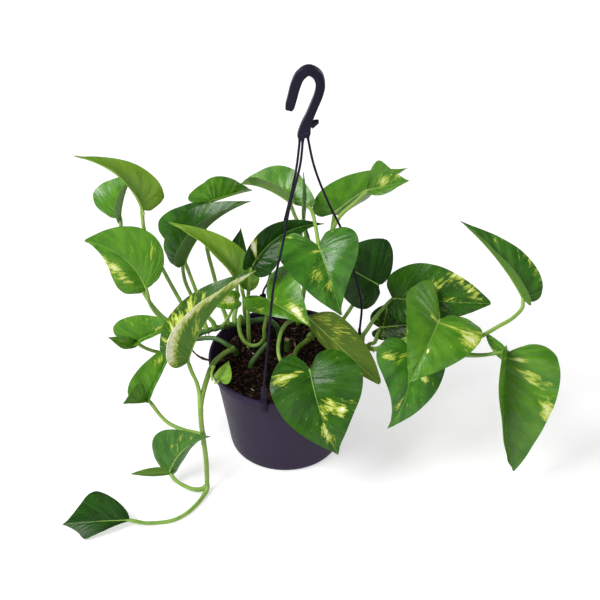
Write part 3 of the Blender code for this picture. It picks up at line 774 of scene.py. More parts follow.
@dataclass
class Soil:
    """The damp peat in the pot, with coir, bark, slivers of wood and a little perlite."""

    radius: float = 68.7
    deep: float = 84.0
    level: float = 95.2
    mound: float = 1.6  # how far the middle stands up
    mound_r: float = 70.0
    sag: float = 2.2  # how far the peat drops along the wall
    sag_from: float = 60.0
    sag_width: float = 9.0
    lumps: float = 1.9  # how high they rise, and the crumbs on them
    crumbs: float = 0.9
    rings: int = 74
    sectors: int = 200
    seed: int = 5
    strewn: float = 66.5  # how far out loose matter lies
    coir: int = 760
    bark: int = 260
    grains: int = 3  # of perlite
    slivers: int = 7  # of wood

    def height(self, x: float, y: float) -> float:
        """Gives the peat's height at a place.

        Args:
            x: To the right, in mm.
            y: Towards the back, in mm.

        Returns:
            The height in mm.
        """
        r = math.hypot(x, y)
        bank = max(0.0, (r - self.sag_from) / self.sag_width)
        swell = self.level + self.mound * (1 - (r / self.mound_r) ** 2) - self.sag * bank**2
        coarse, fine = 0.055, 0.5  # lumps and crumbs to the mm
        lumps = noise.fractal((x * coarse, y * coarse, 2.0), 0.8, 2.1, 5) * self.lumps
        return swell + lumps + self.crumbs * noise.noise((x * fine, y * fine, 7.0))

    def ground(self) -> Thing:
        """Rolls a sheet round into the peat's lumpy top, its side and its flat bottom.

        Returns:
            The body of peat.
        """
        rows = self.rings + 2
        obj, t, v = sheet("peat", rows, self.sectors)
        n = np.rint(t * rows).astype(int)
        a = 2 * np.pi * v
        r = np.where(n <= self.rings, self.radius * n / self.rings, self.radius * 0.97)
        x, y = r * np.cos(a), r * np.sin(a)
        z = np.array([self.height(*p) for p in zip(x, y)])
        z = np.where(n > self.rings, self.deep, z)
        r = np.where(n == rows, 0.0, r)
        place(obj, np.stack([r * np.cos(a), r * np.sin(a), z], 1))
        with editing():
            weld()
            outward()
        bpy.ops.object.shade_smooth()
        return dress(obj, Peat().build())

    def strand(self, name: str, length: float, thick: float, bend: float) -> Thing:
        """Bends one thin strand, tapered at both ends, lying along X at the origin.

        Args:
            name: The object's name.
            length: Its length in mm.
            thick: Its radius in mm.
            bend: How far its middle stands out, in mm.

        Returns:
            The strand.
        """
        s = np.linspace(-1, 1, 8)
        line = np.stack([s * length / 2, bend * (1 - s**2), 0.35 * bend * np.sin(2.6 * s)], 1)
        return tube(name, line, thick * (1.02 - np.abs(s) ** 3), sides=5)

    def chip(self, name: str, size: float, seed: int) -> Thing:
        """Breaks a ball into one rough, flat chip at the origin.

        Args:
            name: The object's name.
            size: The ball's radius in mm.
            seed: Fixes how it breaks.

        Returns:
            The chip.
        """
        rough, long, wide, high = 0.55, 1.5, 0.9, 0.55
        obj = primitive(bpy.ops.mesh.primitive_ico_sphere_add, name, subdivisions=2,
                        radius=size * MM)
        for point in obj.data.vertices:
            x, y, z = point.co
            push = 1 + rough * noise.noise(point.co * (900 / size) + Vector((seed, 0, 0)))
            point.co = Vector((x * long, y * wide, z * high)) * push
        return obj

    def scatter(self, name: str, models: list[Thing], count: int, look: Fibre, seed: int,
                lift: float) -> Thing:
        """Strews copies of the models over the peat and joins them.

        Args:
            name: The joined piece's name.
            models: The shapes to copy.
            count: How many copies.
            look: Their finish.
            seed: Fixes where they fall.
            lift: How high each sits above the peat, in mm.

        Returns:
            The joined piece.
        """
        rng = np.random.default_rng(seed)
        made = []
        for n in range(count):
            r, a = self.strewn * math.sqrt(rng.random()), 2 * math.pi * rng.random()
            x, y = r * math.cos(a), r * math.sin(a)
            copy = models[n % len(models)].copy()
            copy.data = copy.data.copy()
            bpy.context.collection.objects.link(copy)
            copy.location = (x * MM, y * MM, (self.height(x, y) + lift) * MM)
            tip, roll, turn = rng.normal(0, 0.35), rng.normal(0, 0.28), rng.uniform(0, 2 * math.pi)
            copy.rotation_euler = (tip, roll, turn)
            copy.scale = [float(rng.uniform(0.6, 1.25))] * 3
            made.append(copy)
        for model in models:
            bpy.data.objects.remove(model)
        obj = joined(name, made)
        bpy.ops.object.transform_apply(location=True, rotation=True, scale=True)
        bpy.ops.object.shade_smooth()
        return dress(obj, look.build())

    def build(self) -> list[Thing]:
        """Builds the peat and everything lying on it.

        Returns:
            The pieces, the peat first.
        """
        coir = [self.strand("coir", *sizes) for sizes in (
            (9, 0.20, 1.5), (6, 0.18, -1.2), (4, 0.26, 0.5), (13, 0.16, 2.6))]
        bark = [self.chip("bark", *sizes) for sizes in ((1.1, 3), (0.7, 8), (1.5, 14))]
        grains = [self.chip("grain", *sizes) for sizes in ((0.8, 21), (0.55, 34))]
        wood = [self.strand("wood", *sizes) for sizes in ((13, 0.8, 0.5), (9, 0.6, 0.3))]
        pieces = [self.ground()]
        for n, (name, models, count, look, lift) in enumerate((
            ("coir_fibres", coir, self.coir, COIR, 0.3),
            ("bark_chips", bark, self.bark, BARK, 0.0),
            ("perlite_grains", grains, self.grains, PERLITE, 0.1),
            ("wood_slivers", wood, self.slivers, WOOD, 0.7),
        )):
            pieces.append(self.scatter(name, models, count, look, self.seed + n, lift))
        return pieces


# --- the hanger ------------------------------------------------------------------
# each rod's centre line, from the hook's foot to its clip
RODS = {
    "rod_front": (
        (17.4, -0.6, 355.4), (15.6, -3.4, 333), (5, -13, 287), (-1, -22, 254), (-9, -35, 219),
        (-15, -59, 164), (-17.5, -69, 142), (-19.2, -72.6, 124)),
    "rod_back_left": (
        (14.8, 1.8, 354.0), (12.2, 10, 321.5), (-1, 30, 238.3), (-12, 48, 179.3),
        (-17.2, 60, 148.4), (-23.0, 71.4, 124)),
    "rod_right": (
        (20.9, 1.0, 357.4), (27, 4, 323), (42, 8, 276), (52, 10, 251), (66, 12, 198),
        (74.4, 13.4, 153), (75.4, 13.4, 124)),
}


@dataclass
class Hanger:
    """The flat moulded hook and the three rods that clip over the pot's rim.

    line is the hook's centre line: right, up and half its width. foot and tab are
    outlines, right and up. clip and pin are outlines cut through the pot's axis, out
    and up.
    """

    line: tuple[Point, ...] = (
        (5.0, 383.0, 4.1), (8.1, 395.5, 4.2), (10.8, 406.8, 4.3), (15.0, 416.6, 4.2),
        (22.0, 421.8, 4.1), (29.0, 418.0, 4.2), (32.3, 408.8, 4.1), (31.2, 399.5, 3.8),
        (27.2, 387.5, 3.6), (22.7, 375.0, 3.8), (20.1, 367.5, 4.5), (18.4, 359.5, 5.4),
        (17.6, 356.0, 5.4),
    )
    foot: tuple[Pair, ...] = (
        (12.0, 357.6), (13.6, 353.6), (17.0, 353.4), (24.2, 359.4), (24.0, 362.6),
    )
    tab: tuple[Pair, ...] = (
        (23.6, 366.4), (25.8, 363.8), (31.2, 369.4), (31.4, 371.2), (29.6, 371.8), (24.6, 370.8),
    )
    clip: tuple[Pair, ...] = (
        (73.2, 125.0), (73.2, 112.0), (72.2, 109.0), (69.3, 108.4), (69.0, 101.5), (70.2, 101.5),
        (71.3, 105.5), (75.5, 105.5), (75.5, 97.9), (72.4, 97.7), (72.4, 95.2), (77.7, 95.2),
        (77.9, 107.0), (76.9, 110.0), (75.4, 112.0), (75.4, 125.0),
    )
    pin: tuple[Pair, ...] = ((77.2, 97.0), (78.2, 97.4), (78.4, 104.6), (77.4, 105.4))
    rods: dict[str, tuple[Point, ...]] = field(default_factory=lambda: RODS)
    depth: float = 7.0
    foot_depth: float = 8.6
    tab_depth: float = 4.4
    tip_taper: Point = (0.68, 0.90, 0.98)
    rib_height: float = 0.45
    rib_edges: Pair = (0.30, -0.72)  # as shares of the hook's half width
    rod_r: float = 1.15
    rod_root: Point = (1.7, 1.6, 1.35)
    rod_flare: float = 0.75
    flare_from: float = 130.0
    flare_length: float = 12.0
    clip_width: float = 6.4
    pin_width: float = 3.4
    reach: float = 74.3  # from the pot's axis to a rod where it meets its clip
    joint: Pair = (124.0, 117.0)  # how high a rod enters its clip, and how high it ends
    crease: float = 35.0

    def plate(self, name: str, outline: Sequence[Pair], thickness: float, bevel: float) -> Thing:
        """Cuts a plate to an outline in X and Z and rounds its edges.

        Args:
            name: The object's name.
            outline: Right and up, in mm.
            thickness: Its depth along Y, in mm, with its middle at 0.
            bevel: The edges' radius in mm.

        Returns:
            The plate.
        """
        obj = primitive(bpy.ops.mesh.primitive_circle_add, name, vertices=len(outline), radius=1,
                        fill_type="NGON")
        place(obj, np.array([(x, -thickness / 2, z) for x, z in outline]))
        through = (0, thickness * MM, 0)
        with editing():
            bpy.ops.mesh.extrude_region_move(TRANSFORM_OT_translate={"value": through})
            outward()
        apply(obj, "BEVEL", width=bevel * MM, segments=3, limit_method="ANGLE",
              angle_limit=math.radians(50))
        return obj

    def hook(self) -> Thing:
        """Shapes the hook, with its foot, its snap tab and its raised rib.

        Returns:
            The hook.
        """
        steps, ribbed = 60, slice(4, 54)
        line = smooth(self.line, np.linspace(0, 1, steps))
        line[:3, 2] *= self.tip_taper
        middle, half = line[:, :2], line[:, 2:]
        ahead = unit(np.gradient(middle, axis=0))
        aside = np.stack([-ahead[:, 1], ahead[:, 0]], 1) * half
        left, right = middle + aside, middle - aside
        rib_left, rib_right = ((middle + edge * aside)[ribbed] for edge in self.rib_edges)
        hook = joined("hook_moulding", [
            self.plate("hook_moulding", [*left, *right[::-1]], self.depth, bevel=1.5),
            self.plate("hook_foot", self.foot, self.foot_depth, bevel=0.9),
            self.plate("hook_tab", self.tab, self.tab_depth, bevel=0.7),
            self.plate("hook_rib", [*rib_left, *rib_right[::-1]],
                       self.depth + 2 * self.rib_height, bevel=0.35),
        ])
        soften(self.crease)
        return hook

    def rod(self, name: str) -> Thing:
        """Draws one rod from the hook's foot down to its clip over the rim.

        Args:
            name: The rod.

        Returns:
            The rod with its clip.
        """
        path = [np.array(p, float) for p in self.rods[name]]
        turn = math.atan2(path[-1][1], path[-1][0])
        out = np.array([math.cos(turn), math.sin(turn), 0.0])
        path[-1:] = [out * self.reach + (0, 0, height) for height in self.joint]
        line = even(path, step=2.5)
        radius = np.full(len(line), self.rod_r)
        radius[:3] = self.rod_root
        near = np.clip((self.flare_from - line[:, 2]) / self.flare_length, 0, 1)
        rod = tube(name + "_rod", line, radius + self.rod_flare * near**2, sides=14)
        clip = joined(name + "_clip", [
            self.plate(name + "_clip", self.clip, self.clip_width, bevel=0.5),
            self.plate(name + "_pin", self.pin, self.pin_width, bevel=0.3),
        ])
        clip.rotation_euler = (0, 0, turn)
        bpy.ops.object.transform_apply(location=False, rotation=True, scale=False)
        rod = joined(name + "_rod", [rod, clip])
        soften(self.crease)
        return rod

    def build(self) -> dict[str, Thing]:
        """Builds the hook and the rods, each under the node that it stands for.

        Returns:
            The pieces by node.
        """
        plastic = HANGER_PLASTIC.build()
        made = {"hanger_hook": self.hook()} | {name: self.rod(name) for name in self.rods}
        for piece in made.values():
            dress(piece, plastic)
        return made


# --- the plant -------------------------------------------------------------------
class Lie(NamedTuple):
    """Where points of a blade lie."""

    points: Array  # in mm
    out: Array  # which way the face looks there
    x: Array  # how far along the midrib's length, as a share
    y: Array  # how far from the midrib, in mm


@dataclass(frozen=True)
class Leaf:
    """One blade: where it is, where it looks and how its halves are cut.

    joint and tip are the midrib's ends, and faces is where the blade looks, as a
    compass angle and a height. The other pairs are the left and right half. half is
    the width, lobe the reach behind the joint, shift the slant towards the tip, point
    the narrowing towards it, full the roundness and fold the rise of each half from
    flat, in degrees. arch and sway bow the midrib out and to the right, as shares of
    its length, and twist turns the blade towards its tip, in degrees.
    """

    joint: Point
    tip: Point
    faces: Pair
    half: Pair
    arch: float = 0.0
    sway: float = 0.0
    twist: float = 0.0
    fold: Pair = (12, 12)
    lobe: Pair = (1, 1)
    shift: Pair = (0, 0)
    point: Pair = (0, 0)
    full: Pair = (0, 0)

    def small(self) -> bool:
        """Says whether it is one of the small leaves."""
        return max(self.half) < SMALL_LEAF

    def surface(self, t: Array, v: Array, seed: float = 0.0, relief: float = 0.0) -> Lie:
        """Places points of the blade's upper face.

        Args:
            t: How far round the outline, from the joint over the lobe to the tip.
            v: How far across, from -1 at the left edge to 1 at the right edge.
            seed: Fixes the blade's small waves.
            relief: How strong these are, from 0 to 1.

        Returns:
            Where the points lie.
        """
        joint, tip = np.array(self.joint, float), np.array(self.tip, float)
        length = np.linalg.norm(tip - joint)
        chord = (tip - joint) / length
        looks = heading(*self.faces)
        facing = unit(looks - (looks @ chord) * chord)
        edge, rib = pattern(OUTLINE, t), pattern(RIB, t)[:, 0]
        across, side = np.abs(v), np.where(v < 0, -1.0, 1.0)

        def pick(pair: Pair) -> Array:
            """Gives each point its half's value."""
            return np.where(side < 0, pair[0], pair[1])

        # flat: x along the midrib as a share of its length, y away from it in mm
        ey = np.clip(edge[:, 1], 0, None) ** (1 - pick(self.full))
        ex = edge[:, 0]
        slant = pick(self.shift) * ey * (1 - np.clip(ex, 0, 1))
        ex = np.where(ex < 0, ex * pick(self.lobe), ex) + slant
        x = rib + across * (ex - rib)
        on = np.clip(x, 0, 1)
        y = across * ey * pick(self.half) * (1 - pick(self.point) * on)

        # bent: along the bowed midrib, twisted, each half folded up
        bow = self.arch * facing + self.sway * np.cross(chord, facing)
        s = x[:, None]
        back = chord + 4 * bow
        at = joint + length * np.where(s < 0, s * back, chord * s + bow * 4 * s * (1 - s))
        ahead = unit(np.where(s < 0, back, chord + bow * 4 * (1 - 2 * s)))
        out = unit(facing - (ahead @ facing)[:, None] * ahead)
        turn = np.radians(self.twist * on)[:, None]
        right = np.cross(ahead, out)
        out, right = (out * np.cos(turn) + right * np.sin(turn),
                      right * np.cos(turn) - out * np.sin(turn))
        rise = np.radians(pick(self.fold))
        way = right * (side * np.cos(rise))[:, None] + out * np.sin(rise)[:, None]
        up = out * np.cos(rise)[:, None] - right * (side * np.sin(rise))[:, None]

        # raised: each half billows between midrib and edge, and the edge waves
        size = (self.half[0] + self.half[1]) / 2
        full_turn = 2 * np.pi
        billow = 0.055 * size * ey * np.sin(np.pi * across) * (1 - 0.5 * on)
        groove = 0.7 * np.exp(-((y / 1.6) ** 2)) * np.clip(1.1 - x, 0, 1) * np.clip(y, 0, 1)
        veins = (0.30 * np.sin(VEINS * t + seed) * np.clip(4 * across * (1 - across), 0, 1)
                 * np.clip(1.15 - x, 0, 1))
        waves = (0.028 * size * np.sin(full_turn * (2.6 * t + 0.35 * side) + seed) * across**3
                 * np.clip(ey * 2, 0, 1))
        curl = 0.012 * size * np.sin(full_turn * (6.3 * t) + 2 * seed * side) * across**6
        lift = relief * (billow - groove + veins + waves + curl)
        return Lie(at + way * y[:, None] + up * lift[:, None], up, x, y)

    def spine(self, upto: float, under: float) -> Array:
        """Follows the midrib just below the blade.

        Args:
            upto: How far along the midrib, as a share of its length.
            under: How far below the upper face, in mm.

        Returns:
            Points from the joint on.
        """
        count, beside = 60, 1e-6
        t = np.interp(np.linspace(0.0, 1.0, count) * upto, RIB, np.linspace(0, 1, len(RIB)))
        right = self.surface(t, np.full(count, beside))
        left = self.surface(t, np.full(count, -beside))
        return right.points - unit(right.out + left.out) * under


@dataclass(frozen=True)
class Look:
    """How one leaf is coloured.

    spread is how freely it is flecked all over. Each patch is a place on the blade,
    as its side vein from the joint at 0 to the tip at 1 and its place along that vein
    from the left edge at -1 to the right edge at 1, then its size both ways and its
    strength.
    """

    tone: Tone = Tone.MID
    spread: float = 0.0
    patches: tuple[tuple[float, ...], ...] = ()


# Each leaf's joint, tip, face and half widths come first. A lobe that is folded under
# its leaf is a small blade of its own.
LEAVES = {
    "leaf_top_left": Leaf((-134, 40, 249), (-190, 20, 322), (-50, 15), (28, 28), arch=0.05,
        sway=0.11, fold=(60, 10), lobe=(0.3, 0.35), shift=(0.15, 0), point=(0, 0.45), twist=35),
    "leaf_far_left": Leaf((-161, 75, 215), (-145, 90, 260), (-100, 20), (31, 25), arch=0.05,
        sway=-0.05, fold=(0, 80), lobe=(0.5, 0.5), shift=(0.2, 0.15), twist=-30),
    "leaf_left": Leaf((-133, 15, 174), (-190, 30, 220), (-80, 30), (24, 36), arch=0.05, sway=0.14,
        fold=(10, 10), lobe=(0.3, 0.45), shift=(0.1, 0.3), full=(0, 0.3)),
    "leaf_low_left": Leaf((-143, -15, 133), (-101, -22, 160), (-105, 20), (26, 12), arch=-0.12,
        fold=(0, 85), lobe=(0.9, 0.5), shift=(-0.25, 0)),
    "leaf_low_left/lobe": Leaf((-142, -15, 132), (-166, -35, 155), (-50, 10), (8, 5),
        full=(0.2, 0.2), shift=(0.3, 0.3), arch=0.02),
    "leaf_front_left": Leaf((-91, -55, 142), (-26, -25, 226), (180, 40), (35, 38), arch=0.095,
        fold=(52, 52), lobe=(0.5, 0.5), shift=(0, 0.1)),
    "leaf_lower_left": Leaf((-130, -60, 99), (-103, -10, 136), (-80, 50), (23, 10), fold=(10, 80),
        shift=(-0.05, 0), lobe=(0.5, 0.4)),
    "leaf_lower_left/lobe": Leaf((-131, -61, 99), (-150, -85, 116), (-25, 25), (2, 18),
        full=(0, 0.2), shift=(0, 0.25), lobe=(0.3, 0.3)),
    "leaf_trail_upper": Leaf((-113, -75, 17), (-70, -86, 75), (-100, 30), (28, 10), fold=(10, -60),
        sway=-0.1, lobe=(0.5, 0.4), shift=(0.25, 0), point=(-0.2, 0)),
    "leaf_trail_upper/lobe": Leaf((-112, -75, 18), (-149, -90, 30), (120, -35), (5.5, 3.5),
        full=(0.3, 0.3), shift=(0.2, 0.2)),
    "leaf_trail_end": Leaf((-148, -131, 9), (-212, -132, 4), (-80, 55), (9.5, 29), arch=0.08,
        fold=(12, 22), lobe=(0.4, 0.5), shift=(0.55, 0.35), point=(-1.2, 0)),
    "leaf_high_left": Leaf((-71, 72, 237), (-33, 112, 223), (-30, 40), (22, 20), arch=0.12,
        fold=(0, 85), lobe=(2.2, 0.5)),
    "leaf_back_left": Leaf((-97, 60, 188), (-70, 90, 233), (-90, 35), (36, 20), fold=(5, 85),
        lobe=(0.5, 0.5), shift=(0.1, 0)),
    "leaf_folded_left": Leaf((-97, 40, 187), (-32, 55, 249), (-175, 45), (31, 28), arch=0.13,
        fold=(45, 44), lobe=(0.6, 0.5), shift=(0, 0.14)),
    "leaf_centre_left": Leaf((-41, 20, 172), (-108, 20, 249), (-65, 20), (24, 21), arch=0.05,
        sway=0.09, fold=(75, 10), lobe=(0.5, 0.5), shift=(0.15, 0)),
    "leaf_small_left": Leaf((-47, 20, 157), (-77, 10, 159), (-70, 40), (9, 10), arch=0.12,
        fold=(12, 12)),
    "leaf_small_back": Leaf((-47, 60, 173), (-43, 70, 207), (-95, 15), (12, 9), fold=(10, 10),
        lobe=(0.5, 0.5)),
    "leaf_back_centre": Leaf((-30, 4, 210.5), (37, 30, 240), (-95, 35), (19, 20), arch=0.05,
        sway=-0.14, fold=(58, 10), lobe=(0.5, 0.5), twist=-50),
    "leaf_centre": Leaf((32, -5, 240), (53, -50, 194), (-95, 45), (40, 40), arch=0.12,
        fold=(10, 10), lobe=(1, 1.4), shift=(0, -0.1), point=(0.55, 0.2), twist=-20,
        full=(0, 0.25)),
    "leaf_back_top": Leaf((5, 75, 234), (-45, 120, 225), (155, 70), (24, 27), arch=0.1,
        fold=(68, 40), lobe=(0.9, 2.0), point=(0, -0.3)),
    "leaf_back_right": Leaf((49, 80, 218), (119, 95, 260), (-100, 30), (26, 22), arch=0.05,
        sway=-0.04, fold=(10, -70), lobe=(1, 0.4), shift=(-0.08, 0.1)),
    "leaf_back_right_small": Leaf((79, 60, 258), (117, 46, 278), (-125, 25), (26, 8),
        fold=(20, 20), lobe=(0.4, 0.4), shift=(0.38, 0.2)),
    "leaf_right_back": Leaf((92, 50, 153), (33, 60, 186), (-80, 30), (31, 43), fold=(10, 10),
        lobe=(0.6, 0.7), shift=(0, 0.1), full=(0, -0.2)),
    "leaf_right": Leaf((104, 20, 159), (197, 0, 168), (-105, 35), (34, 23), arch=0.1, fold=(4, 14),
        lobe=(0.9, 0.4), shift=(0.15, 0.1), point=(-0.2, 0), full=(0.35, 0.3)),
    "leaf_right_dark": Leaf((93, 10, 131), (150, 0, 146), (-110, 35), (22, 14), fold=(10, 10)),
    "leaf_front_right": Leaf((146, -30, 173), (115, -82, 138), (-70, 55), (43, 39), arch=0.12,
        fold=(10, 10), lobe=(0.8, 2.0), shift=(-0.12, -0.25), point=(0, 0.4), full=(0, 0.2)),
    "leaf_low_right": Leaf((117, -37, 147), (98, -72, 72), (-90, 25), (36, 34), arch=0.12,
        sway=-0.1, fold=(10, 10), lobe=(0.6, 0.6), point=(0.25, 0.5)),
    "leaf_far_right": Leaf((227, -5, 178), (165, 25, 247), (-5, 45), (13, 27), arch=0.05,
        fold=(50, 50), lobe=(0.5, 0.6)),
    "leaf_low_far_right": Leaf((209, -45, 145), (221, -85, 29), (-90, 20), (52, 36), arch=0.1,
        sway=0.05, fold=(5, 76), lobe=(0.5, 0.3), full=(0.3, 0)),
    "leaf_low_far_right/lobe": Leaf((209, -46, 144), (191, -30, 156), (-105, 45), (8, 4),
        full=(0.5, 0.3)),
    "leaf_front": Leaf((24, -55, 132), (51, -95, 60), (-85, 30), (48, 41), arch=0.12, sway=0.04,
        fold=(8, 8), lobe=(1.1, 1.1)),
    "leaf_underside": Leaf((21.4, -15, 165), (91, -45, 106), (95, -35), (12, 21), arch=0.05,
        fold=(30, 5), lobe=(0.2, 0.2), full=(0.5, 0.45), shift=(0.3, 0.2), point=(0, -0.2)),
    "leaf_middle": Leaf((-16, 0, 174), (25, -35, 168), (-125, 50), (37, 22), arch=0.12,
        fold=(8, 25), lobe=(1.2, 2), shift=(-0.08, -0.3), point=(0, 0.6)),
    "leaf_bud": Leaf((-61, -53.5, 118.5), (-53, -40, 130), (-60, 35), (9, 9), arch=0.1,
        fold=(20, 20), lobe=(0.5, 0.5)),
}
# what each petiole grows from, and its centre line up to the blade
PETIOLES = {
    "leaf_top_left": ("vine_back_left", ((-88, 28, 107), (-99, 31, 138), (-115, 35, 175),
        (-134, 40, 228))),
    "leaf_far_left": ("vine_back_left", ((-84, 30, 108), (-101, 37, 108), (-120, 43, 116),
        (-138, 50, 138), (-152, 62, 180), (-160, 71, 204))),
    "leaf_left": (None, ((-98.4, 24.0, 107.2), (-107, 20, 120), (-120, 15, 137), (-130, 15, 155))),
    "leaf_low_left": ("vine_back_left", ((-94, 26, 107), (-97, 18, 103), (-108, 10, 103),
        (-121, 1, 107), (-134, -7, 118))),
    "leaf_front_left": (None, ((-79, -76.5, 98), (-79.6, -72.5, 106.5), (-80.5, -67, 115),
        (-83, -62.5, 124), (-87, -59.5, 133))),
    "leaf_lower_left": ("vine_trailing", ((-78, -77, 69), (-84, -75, 69), (-97, -73, 72),
        (-112, -68, 77), (-125, -63, 93))),
    "leaf_trail_upper": (None, ((-76, -82, 7), (-80, -84.5, 5), (-88, -86, 5.5), (-97, -84, 7.5),
        (-106, -80, 11))),
    "leaf_trail_end": (None, ((-76, -81.5, 7), (-76.6, -85.8, 4.2), (-80, -94, 3.1),
        (-87, -106, 2.5), (-96, -117, 2.4), (-108, -125, 2.4), (-121, -128, 2.6),
        (-133, -130, 4.2), (-144, -130.5, 7.5))),
    "leaf_high_left": ("vine_back_left", ((-57, 37, 111), (-62, 42, 130), (-70, 50, 165),
        (-76, 58, 192), (-77, 66, 218))),
    "leaf_back_left": ("vine_back_left", ((-78, 31, 109), (-84, 42, 125), (-92, 47, 140),
        (-99, 52, 158), (-100, 57, 176))),
    "leaf_folded_left": ("vine_back_left", ((-70, 34, 110), (-76, 34, 125), (-84, 36, 145),
        (-90, 38, 165))),
    "leaf_centre_left": ("vine_back_left", ((-39, 42, 112), (-40, 34, 132), (-40, 26, 155))),
    "leaf_small_left": ("vine_back_left", ((-62, 36, 111), (-58, 29, 124), (-52, 25, 140))),
    "leaf_small_back": ("vine_back_left", ((-50, 40, 112), (-48, 50, 128), (-48, 56, 150))),
    "leaf_back_centre": ("soil", ((-36, 23, 96), (-36, 22.5, 104), (-36, 20, 125), (-36, 20, 152),
        (-35, 18, 168), (-33, 11, 190))),
    "leaf_centre": ("vine_back_centre", ((22, 70, 176), (21, 79, 188), (18, 87, 203),
        (19, 91, 214), (20, 87, 224), (21, 78, 230), (23, 62, 237.5), (26, 44, 245),
        (29, 20, 246))),
    "leaf_back_top": ("vine_back_centre", ((23, 70, 188), (15, 74, 204), (9, 75.5, 220))),
    "leaf_back_right": ("vine_back_centre", ((21, 67, 152), (32, 68, 160), (43, 69, 184),
        (46, 75, 202))),
    "leaf_back_right_small": ("vine_back_centre", ((20, 66, 144), (30, 64, 150), (40, 63, 180),
        (47, 64, 211), (54, 64, 226), (66, 62, 241))),
    "leaf_right_back": ("soil", ((46, 26, 96), (48, 29, 104), (62, 44, 122), (80, 56, 142))),
    "leaf_right": ("vine_right", ((73, -9, 124), (75, -4, 129), (80, 2, 135), (90, 10, 147))),
    "leaf_right_dark": ("vine_right", ((80, -12, 124), (86, -6, 124), (90, 3, 127))),
    "leaf_front_right": ("vine_right", ((136, -34, 148), (139, -30, 157), (143, -34, 166))),
    "leaf_low_right": ("vine_right", ((116, -29, 147), (116.5, -36, 146))),
    "leaf_far_right": ("vine_right", ((164, -39, 141), (172, -37, 148), (184, -35, 155),
        (201, -28, 162), (219, -16, 166), (226, -9, 171))),
    "leaf_low_far_right": (None, ((170.1, -40.4, 138.6), (178, -42, 139), (189, -44, 141),
        (200, -45, 144))),
    "leaf_front": ("vine_right", ((35, 1.5, 130), (31, 3.5, 138), (22, 6, 142.5), (12, 6, 144),
        (3, 1, 144), (-2, -8, 143.5), (-5, -20, 141), (-6, -30, 138), (-5, -38, 134),
        (-1, -44, 129), (9, -49, 126))),
    "leaf_underside": ("vine_right", ((28, 4, 124), (27, -2, 134), (24, -9, 150))),
    "leaf_middle": ("vine_back_left", ((-43, 40, 112), (-43, 33, 122), (-44, 28, 130),
        (-45, 24, 128), (-45, 21, 120), (-43, 18, 113), (-39, 15, 108), (-33, 13, 105.5),
        (-27, 12, 107), (-22, 11, 113), (-20, 8, 132), (-17, 5, 152))),
    "leaf_bud": (None, ((-66.2, -56.4, 117.4), (-64.9, -56.1, 116.9))),
}
# each stem's radius and centre line
STEMS = {
    "vine_trailing": (2.5, ((-52, 8.5, 105.5), (-53.5, 1, 109.5), (-56, -4, 112),
        (-60, -10, 113.5), (-64, -18, 115.5), (-67.5, -28, 118.5), (-70, -37, 120),
        (-71.8, -44, 119.8), (-73.3, -51, 118.5), (-75.3, -59, 115.7), (-77.3, -67, 111),
        (-79, -74, 103), (-79, -79, 92), (-78, -77, 67), (-76, -78, 31), (-76, -81, 12),
        (-76, -83, 5))),
    "vine_middle_left": (2.5, ((-48, 11, 96), (-48.5, 10.5, 100), (-51, 9.5, 105), (-56, 10, 108),
        (-61, 13, 110), (-67, 17, 110.5), (-77, 21, 108.7), (-84, 22, 107), (-88.5, 22.3, 106))),
    "vine_back_left": (2.7, ((-6, 42, 96), (-8, 43, 104), (-19, 45, 113), (-30, 43, 113),
        (-47, 40, 112), (-65, 35, 111), (-80, 31, 109), (-90, 28, 107), (-97, 25, 107))),
    "vine_right": (2.5, ((9, 8, 96), (11, 9, 102), (20, 6, 116), (34, 2, 130), (58, -5, 129),
        (75, -10, 124), (87, -16, 125), (98, -22, 136), (107, -26, 141), (117, -29, 148),
        (133, -33, 148), (147, -36, 147), (169, -40, 139))),
    "vine_back_centre": (2.4, ((13, 60, 96), (13, 60, 104), (17, 63, 124), (21, 68, 158),
        (23, 71, 190))),
    "stem_cut": (2.7, ((-34, -8, 96), (-33, -7, 99), (-27, -2, 106), (-17, 6, 115))),
    "stem_stub": (3.0, ((2, 17, 96), (2, 17, 110))),
    "shoot": (1.7, ((-70.5, -40, 119.6), (-68.5, -46.5, 124.3), (-69.3, -52, 122),
        (-68, -55.5, 118.5))),
    "new_leaf": (1.7, ((23, 71, 190.4), (23, 71, 194), (21, 69.5, 204), (18, 65, 223),
        (19, 62, 251), (18, 62, 278))),
}
